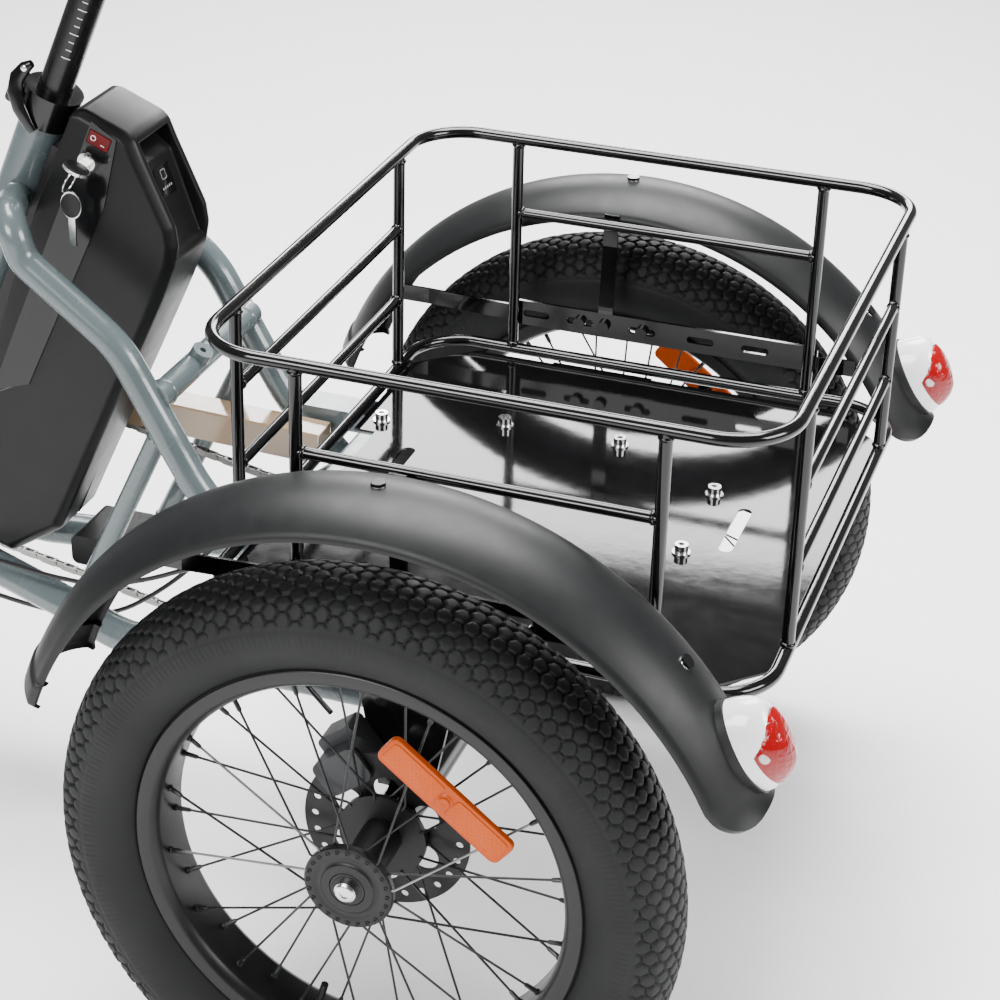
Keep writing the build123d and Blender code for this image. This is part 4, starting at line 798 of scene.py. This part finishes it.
strips = Shape()
for y in (case_half, -case_half):
    case_ribbon(strips, [(4, 84), (70, 96), (300, 92), (338, 60)], y, 1.6, 0.4)
strips.piece("battery_strips", trim_grey, "battery", "battery_trim")

seams = Shape()
for first, last in (((132, 184.1), (446, 182.3)), ((452, 180.2), (506, 144.0))):
    seams.tube([seat_spot(*first), seat_spot(*last)], 0.9, sides=8)
seams.piece("battery_seam", trim_gloss, "battery", "battery_trim")

# handle pocket: a panel with a square mark and a row of charge lights
pocket_plate = Shape()
pocket_marks = Shape()
plate_middle = seat_spot(37, 136.3)
plate_down = (seat_spot(*pocket_end) - seat_spot(*pocket_top)).normalized()
plate_out = seat_down.cross(y_axis).normalized()
if plate_out.dot(seat_back) < 0:
    plate_out = -plate_out
plate_out = (plate_out - plate_down * plate_out.dot(plate_down)).normalized()
lateral = y_axis if plate_down.cross(y_axis).dot(plate_out) > 0 else -y_axis
plate_start = plate_middle - plate_out * 0.0006
pocket_plate.prism(plate_start, plate_down, lateral, round_box(16, 16, 3), 1.2, 0.4)
mark_start = plate_start + plate_out * 0.00125
frame_outline = round_box(4.6, 4.6, 1.2, 3)
for pair in zip(frame_outline, frame_outline[1:] + frame_outline[:1]):
    pocket_marks.tube([mark_start + plate_down * ((x - 6) / 1000) + lateral * (y / 1000) for x, y in pair],
                      0.45, sides=6)
for index in range(5):
    dot = mark_start + plate_down * 0.007 + lateral * ((index - 2) * 0.0042)
    pocket_marks.lathe(dot, plate_out, [(-0.2, 1.3), (0.3, 1.3), (0.6, 0.8)], 12)
pocket_plate.piece("battery_light_panel", trim_gloss, "battery", "battery_trim")
pocket_marks.piece("battery_light_marks", mark_grey, "battery", "battery_trim")

# rocker marks, key bows and the height marks of the seat post
rocker_marks = Shape()
rocker_place = seat_spot(8, 76, case_half + 2.3)
rocker_marks.tube([rocker_place + seat_back * 0.0030 + seat_down * 0.0030,
                   rocker_place + seat_back * 0.0075 + seat_down * 0.0030], 0.45, sides=6)
loop_points = [rocker_place - seat_back * 0.006 + (seat_down * c + seat_back * s) * 0.0026
               for c, s in circle(12)]
rocker_marks.tube(loop_points, 0.4, sides=6, loop=True)
rocker_marks.piece("rocker_marks", lamp_white, "power_rocker", "lamp_white")

post_marks = Shape()
mark_root, mark_skin, mark_half = 16.8, 17.02, 0.35
for index in range(9):
    place = seat_spot(-34 - 9 * index, 0)
    half_turn = 0.16 if index % 3 else 0.26
    first = math.atan2(1.0, -0.35) - half_turn
    sections = []
    for step in range(7):
        angle = first + 2 * half_turn * step / 6
        out = seat_back * -math.cos(angle) + y_axis * math.sin(angle)
        sections.append([place + out * (radius / 1000) + seat_down * (along / 1000)
                         for radius, along in ((mark_root, -mark_half), (mark_skin, -mark_half),
                                               (mark_skin, mark_half), (mark_root, mark_half))])
    post_marks.loft(sections)
post_marks.piece("seat_post_marks", lamp_white, "seat", "post_black")

bows = Shape()
bow_middle = seat_spot(35, 72, case_half + 13.4)
oval = [(12.6 * c, 9.6 * s) for c, s in circle(28)]
normal = seat_back.cross(y_axis)
bow_start = bow_middle + y_axis * 0.0095
bows.prism(bow_start + normal * 0.0016, seat_back, y_axis, oval, 1.2, 0.6)
bows.prism(bow_start - normal * 0.0016, y_axis, seat_back, [(b, a) for a, b in oval], 1.2, 0.6)
ring_middle = seat_spot(35 + 12, 72, case_half + 29.4)
hang = ring_middle + Vector((0, 0, -0.0135))
spare_oval = [(10.4 * c, 11 + 12.5 * s) for c, s in circle(28)]
bows.prism(hang + y_axis * 0.0005, (1, 0, 0), (0, 0, -1), spare_oval, 1.3, 0.5)
bows.piece("key_bows", plastic_black, "key", "key_metal")

# clamp lever: a crescent round the left of the collar, with a rivet at its top end
lever = Shape()
lever_path = [(-15, -22, 24), (-9, -26, 26), (4, -30, 28), (18, -27, 30), (31, -16, 32), (41, -3, 32),
              (46, 5, 31)]
lever_half = (4.0, 6.5, 8.0, 8.5, 8.0, 6.5, 4.5)
lever_rings = []
for index, (place, half) in enumerate(zip(lever_path, lever_half)):
    ahead = Vector(lever_path[min(index + 1, 6)]) - Vector(lever_path[max(index - 1, 0)])
    across = Vector((-ahead[1], ahead[0], 0)).normalized()
    lever_rings.append([seat_spot(*(Vector(place) + across * (half * c) + Vector((0, 0, 3.4 * s))))
                        for c, s in circle(16)])
lever.loft(lever_rings)
lever.piece("clamp_lever", clamp_gloss, "clamp_lever", "clamp_black", "seat_clamp_lever", 60)
rivet = Shape()
rivet.lathe(seat_spot(-9, -26, 29.0), y_axis, [(0, 3.4), (0.9, 3.4), (1.5, 2.6), (1.7, 0.6)], 20)
rivet.piece("clamp_rivet", bright_steel, "clamp_lever", "bright_steel")

# weld beads where the stays meet the seat tube
frame_welds = Shape()


def ring_bead(place, axis, radius, half_width=3.2):
    """A low weld ring round a tube."""
    frame_welds.lathe(place, axis, [(-half_width, radius - 0.4), (-half_width * 0.5, radius + 1.1),
                                    (0, radius + 1.5), (half_width * 0.5, radius + 1.1),
                                    (half_width, radius - 0.4)], 28, closed=True)


for side in (1, -1):
    start = spot(525, side * 26, 705)
    axis = spot(484, side * 111, 724) - start
    ring_bead(start + axis.normalized() * 0.004, axis, 15.5)
    strut_low = spot(446, side * 100, 277)
    strut_high = spot(326, side * 111, 530)
    strut = (strut_high - strut_low).normalized()
    ring_bead(strut_low + strut * 0.020, strut, 10.5, 2.6)
    ring_bead(strut_high - strut * 0.019, strut, 10.5, 2.6)
    ring_bead(spot(333, side * (111 - 17), 556), y_axis, 13.0, 2.8)
frame_welds.piece("frame_welds", frame_paint, "chassis", "frame_paint", None, 70)


# ---- chain: plates and rollers along the loop ----
chain_pitch = 12.7
sprocket_teeth = 18
sprocket_radius = chain_pitch / (2 * math.sin(math.pi / sprocket_teeth))
circles = [((681.0, 355.0), 105.0), ((0.0, 292.0), sprocket_radius),
           ((8.0, 203.0), -20.0), ((44.0, 144.0), 20.0)]
leave = []
arrive = []
for index, (c1, r1) in enumerate(circles):
    c2, r2 = circles[(index + 1) % 4]
    heading = math.atan2(c2[1] - c1[1], c2[0] - c1[0])
    heading += math.asin((r1 - r2) / math.hypot(c2[0] - c1[0], c2[1] - c1[1]))
    side_x, side_z = math.sin(heading), -math.cos(heading)
    leave.append((c1[0] + r1 * side_x, c1[1] + r1 * side_z))
    arrive.append((c2[0] + r2 * side_x, c2[1] + r2 * side_z))
line = []
for index, ((cx, cz), radius) in enumerate(circles):
    first = math.atan2(arrive[index - 1][1] - cz, arrive[index - 1][0] - cx)
    last = math.atan2(leave[index][1] - cz, leave[index][0] - cx)
    swing = (last - first) % (2 * math.pi) if radius > 0 else -((first - last) % (2 * math.pi))
    for step in range(40):
        angle = first + swing * step / 39
        line.append((cx + abs(radius) * math.cos(angle), cz + abs(radius) * math.sin(angle)))
line.append(line[0])
line = np.array(line)
gaps = np.hypot(*np.diff(line, axis=0).T)
run = np.concatenate([[0], np.cumsum(gaps)])
links = 2 * int(round(run[-1] / (2 * chain_pitch)))
places = np.linspace(0, run[-1], links + 1)[:-1]
pins = np.stack([np.interp(places, run, line[:, 0]), np.interp(places, run, line[:, 1])], axis=1)
chain_shape = Shape()
chain_y = -72.0
plate_thick = 1.1
for index in range(links):
    here = Vector((pins[index][0], pins[index][1]))
    there = Vector((pins[(index + 1) % links][0], pins[(index + 1) % links][1]))
    along = (there - here).normalized()
    x_dir = Vector((along.x, 0, along.y))
    z_dir = Vector((-along.y, 0, along.x))
    middle = (here + there) / 2
    outline = [((chain_pitch if c > 0 else -chain_pitch) / 2 + 3.9 * c, (3.9 - 0.6 * (abs(c) < 0.3)) * s)
               for c, s in circle(16)]
    for y in ((-3.7, 2.6) if index % 2 else (-2.5, 1.4)):
        low = spot(middle.x, chain_y + y, middle.y)
        origin = low if x_dir.cross(z_dir).y > 0 else low + y_axis * (plate_thick / 1000)
        chain_shape.prism(origin, x_dir, z_dir, outline, plate_thick, 0.0)
    pin = spot(here.x, chain_y, here.y)
    chain_shape.lathe(pin, y_axis, [(-3.9, 1.8), (3.9, 1.8)], 8)
    chain_shape.lathe(pin, y_axis, [(-1.5, 3.7), (1.5, 3.7)], 10)
chain_shape.piece("chain_links", worn_steel, "chassis", "drive_steel", "chain")


# ---- saddle cushion ----
saddle_low, saddle_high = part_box("saddle_cushion")
saddle_length = saddle_high[0] - saddle_low[0]
saddle_half = (saddle_high[1] - saddle_low[1]) / 2
rows = 56
saddle_rings = []
for row in range(rows):
    part = row / (rows - 1)
    x = saddle_low[0] + 0.004 + (saddle_length - 0.008) * part
    wide = saddle_half * (0.98 if part < 0.42 else 0.98 - 0.66 * ((part - 0.42) / 0.58) ** 0.72)
    end_round = math.sqrt(max(0.0, 1 - max(0.0, (0.2 - part) / 0.2) ** 2)) * math.sqrt(
        max(0.0, 1 - max(0.0, (part - 0.88) / 0.12) ** 2))
    wide = max(0.002, wide * max(0.05, end_round))
    crown = saddle_low[2] + 0.050 + 0.010 * math.cos(part * math.pi * 2) * (1 - part * 0.4)
    crown = saddle_low[2] + 0.004 + (crown - saddle_low[2]) * max(0.12, end_round) ** 0.5
    base = saddle_low[2] + 0.003
    ring = []
    for c, s in circle(48):
        y = wide * math.copysign(abs(c) ** 0.62, c)
        if s >= 0:
            z = base + 0.012 + (crown - base - 0.012) * s ** 0.55
            groove_here = math.exp(-(y / 0.013) ** 2) * (1 if 0.1 < part < 0.85 else 0.2)
            z -= 0.007 * groove_here
            cheek = math.exp(-((abs(y) - 0.062) / 0.03) ** 2) * math.exp(-((part - 0.28) / 0.2) ** 2)
            z += 0.006 * cheek
        else:
            z = base + 0.012 + 0.012 * s * abs(s) ** -0.3
        ring.append(Vector((x, y, min(z, saddle_high[2] - 0.001))))
    saddle_rings.append(ring)
saddle = Shape()
saddle.loft(saddle_rings)
cushion = saddle.piece("saddle_top", saddle_cover, "seat", "saddle_black", "saddle_cushion", 70)

# ---- floor and light ----
floor_mesh = bpy.data.meshes.new("studio_floor")
floor_mesh.from_pydata([(-14, -14, 0), (14, -14, 0), (14, 14, 0), (-14, 14, 0)], [], [(0, 1, 2, 3)])
studio_white = surface("studio_white", (0.90, 0.90, 0.90), 0.75, mottle=0.01, grain=30, grain_depth=0.00001)
floor_mesh.materials.append(studio_white)
studio_floor = bpy.data.objects.new("studio_floor", floor_mesh)
bpy.context.collection.objects.link(studio_floor)

world = bpy.data.worlds.new("studio")
world.use_nodes = True
background = world.node_tree.nodes["Background"]
background.inputs["Color"].default_value = (1.0, 1.0, 1.0, 1)
background.inputs["Strength"].default_value = 0.26
bpy.context.scene.world = world


def softbox(name, place, aim, size_x, size_y, power):
    """A soft area light."""
    data = bpy.data.lights.new(name, "AREA")
    data.shape = "RECTANGLE"
    data.size = size_x
    data.size_y = size_y
    data.energy = power
    lamp = bpy.data.objects.new(name, data)
    lamp.location = place
    lamp.rotation_euler = (Vector(aim) - Vector(place)).to_track_quat("-Z", "Y").to_euler()
    bpy.context.collection.objects.link(lamp)


softbox("light_top", (-0.2, -0.6, 3.4), (-0.5, 0, 0.4), 2.6, 2.0, 430)
softbox("light_left", (0.6, 3.6, 2.4), (-0.5, 0, 0.4), 2.0, 1.4, 170)
softbox("light_back", (-4.0, 0.6, 2.2), (-0.5, 0, 0.4), 2.0, 1.2, 170)
softbox("light_right", (0.4, -3.8, 2.2), (-0.3, 0, 0.5), 2.4, 1.0, 150)
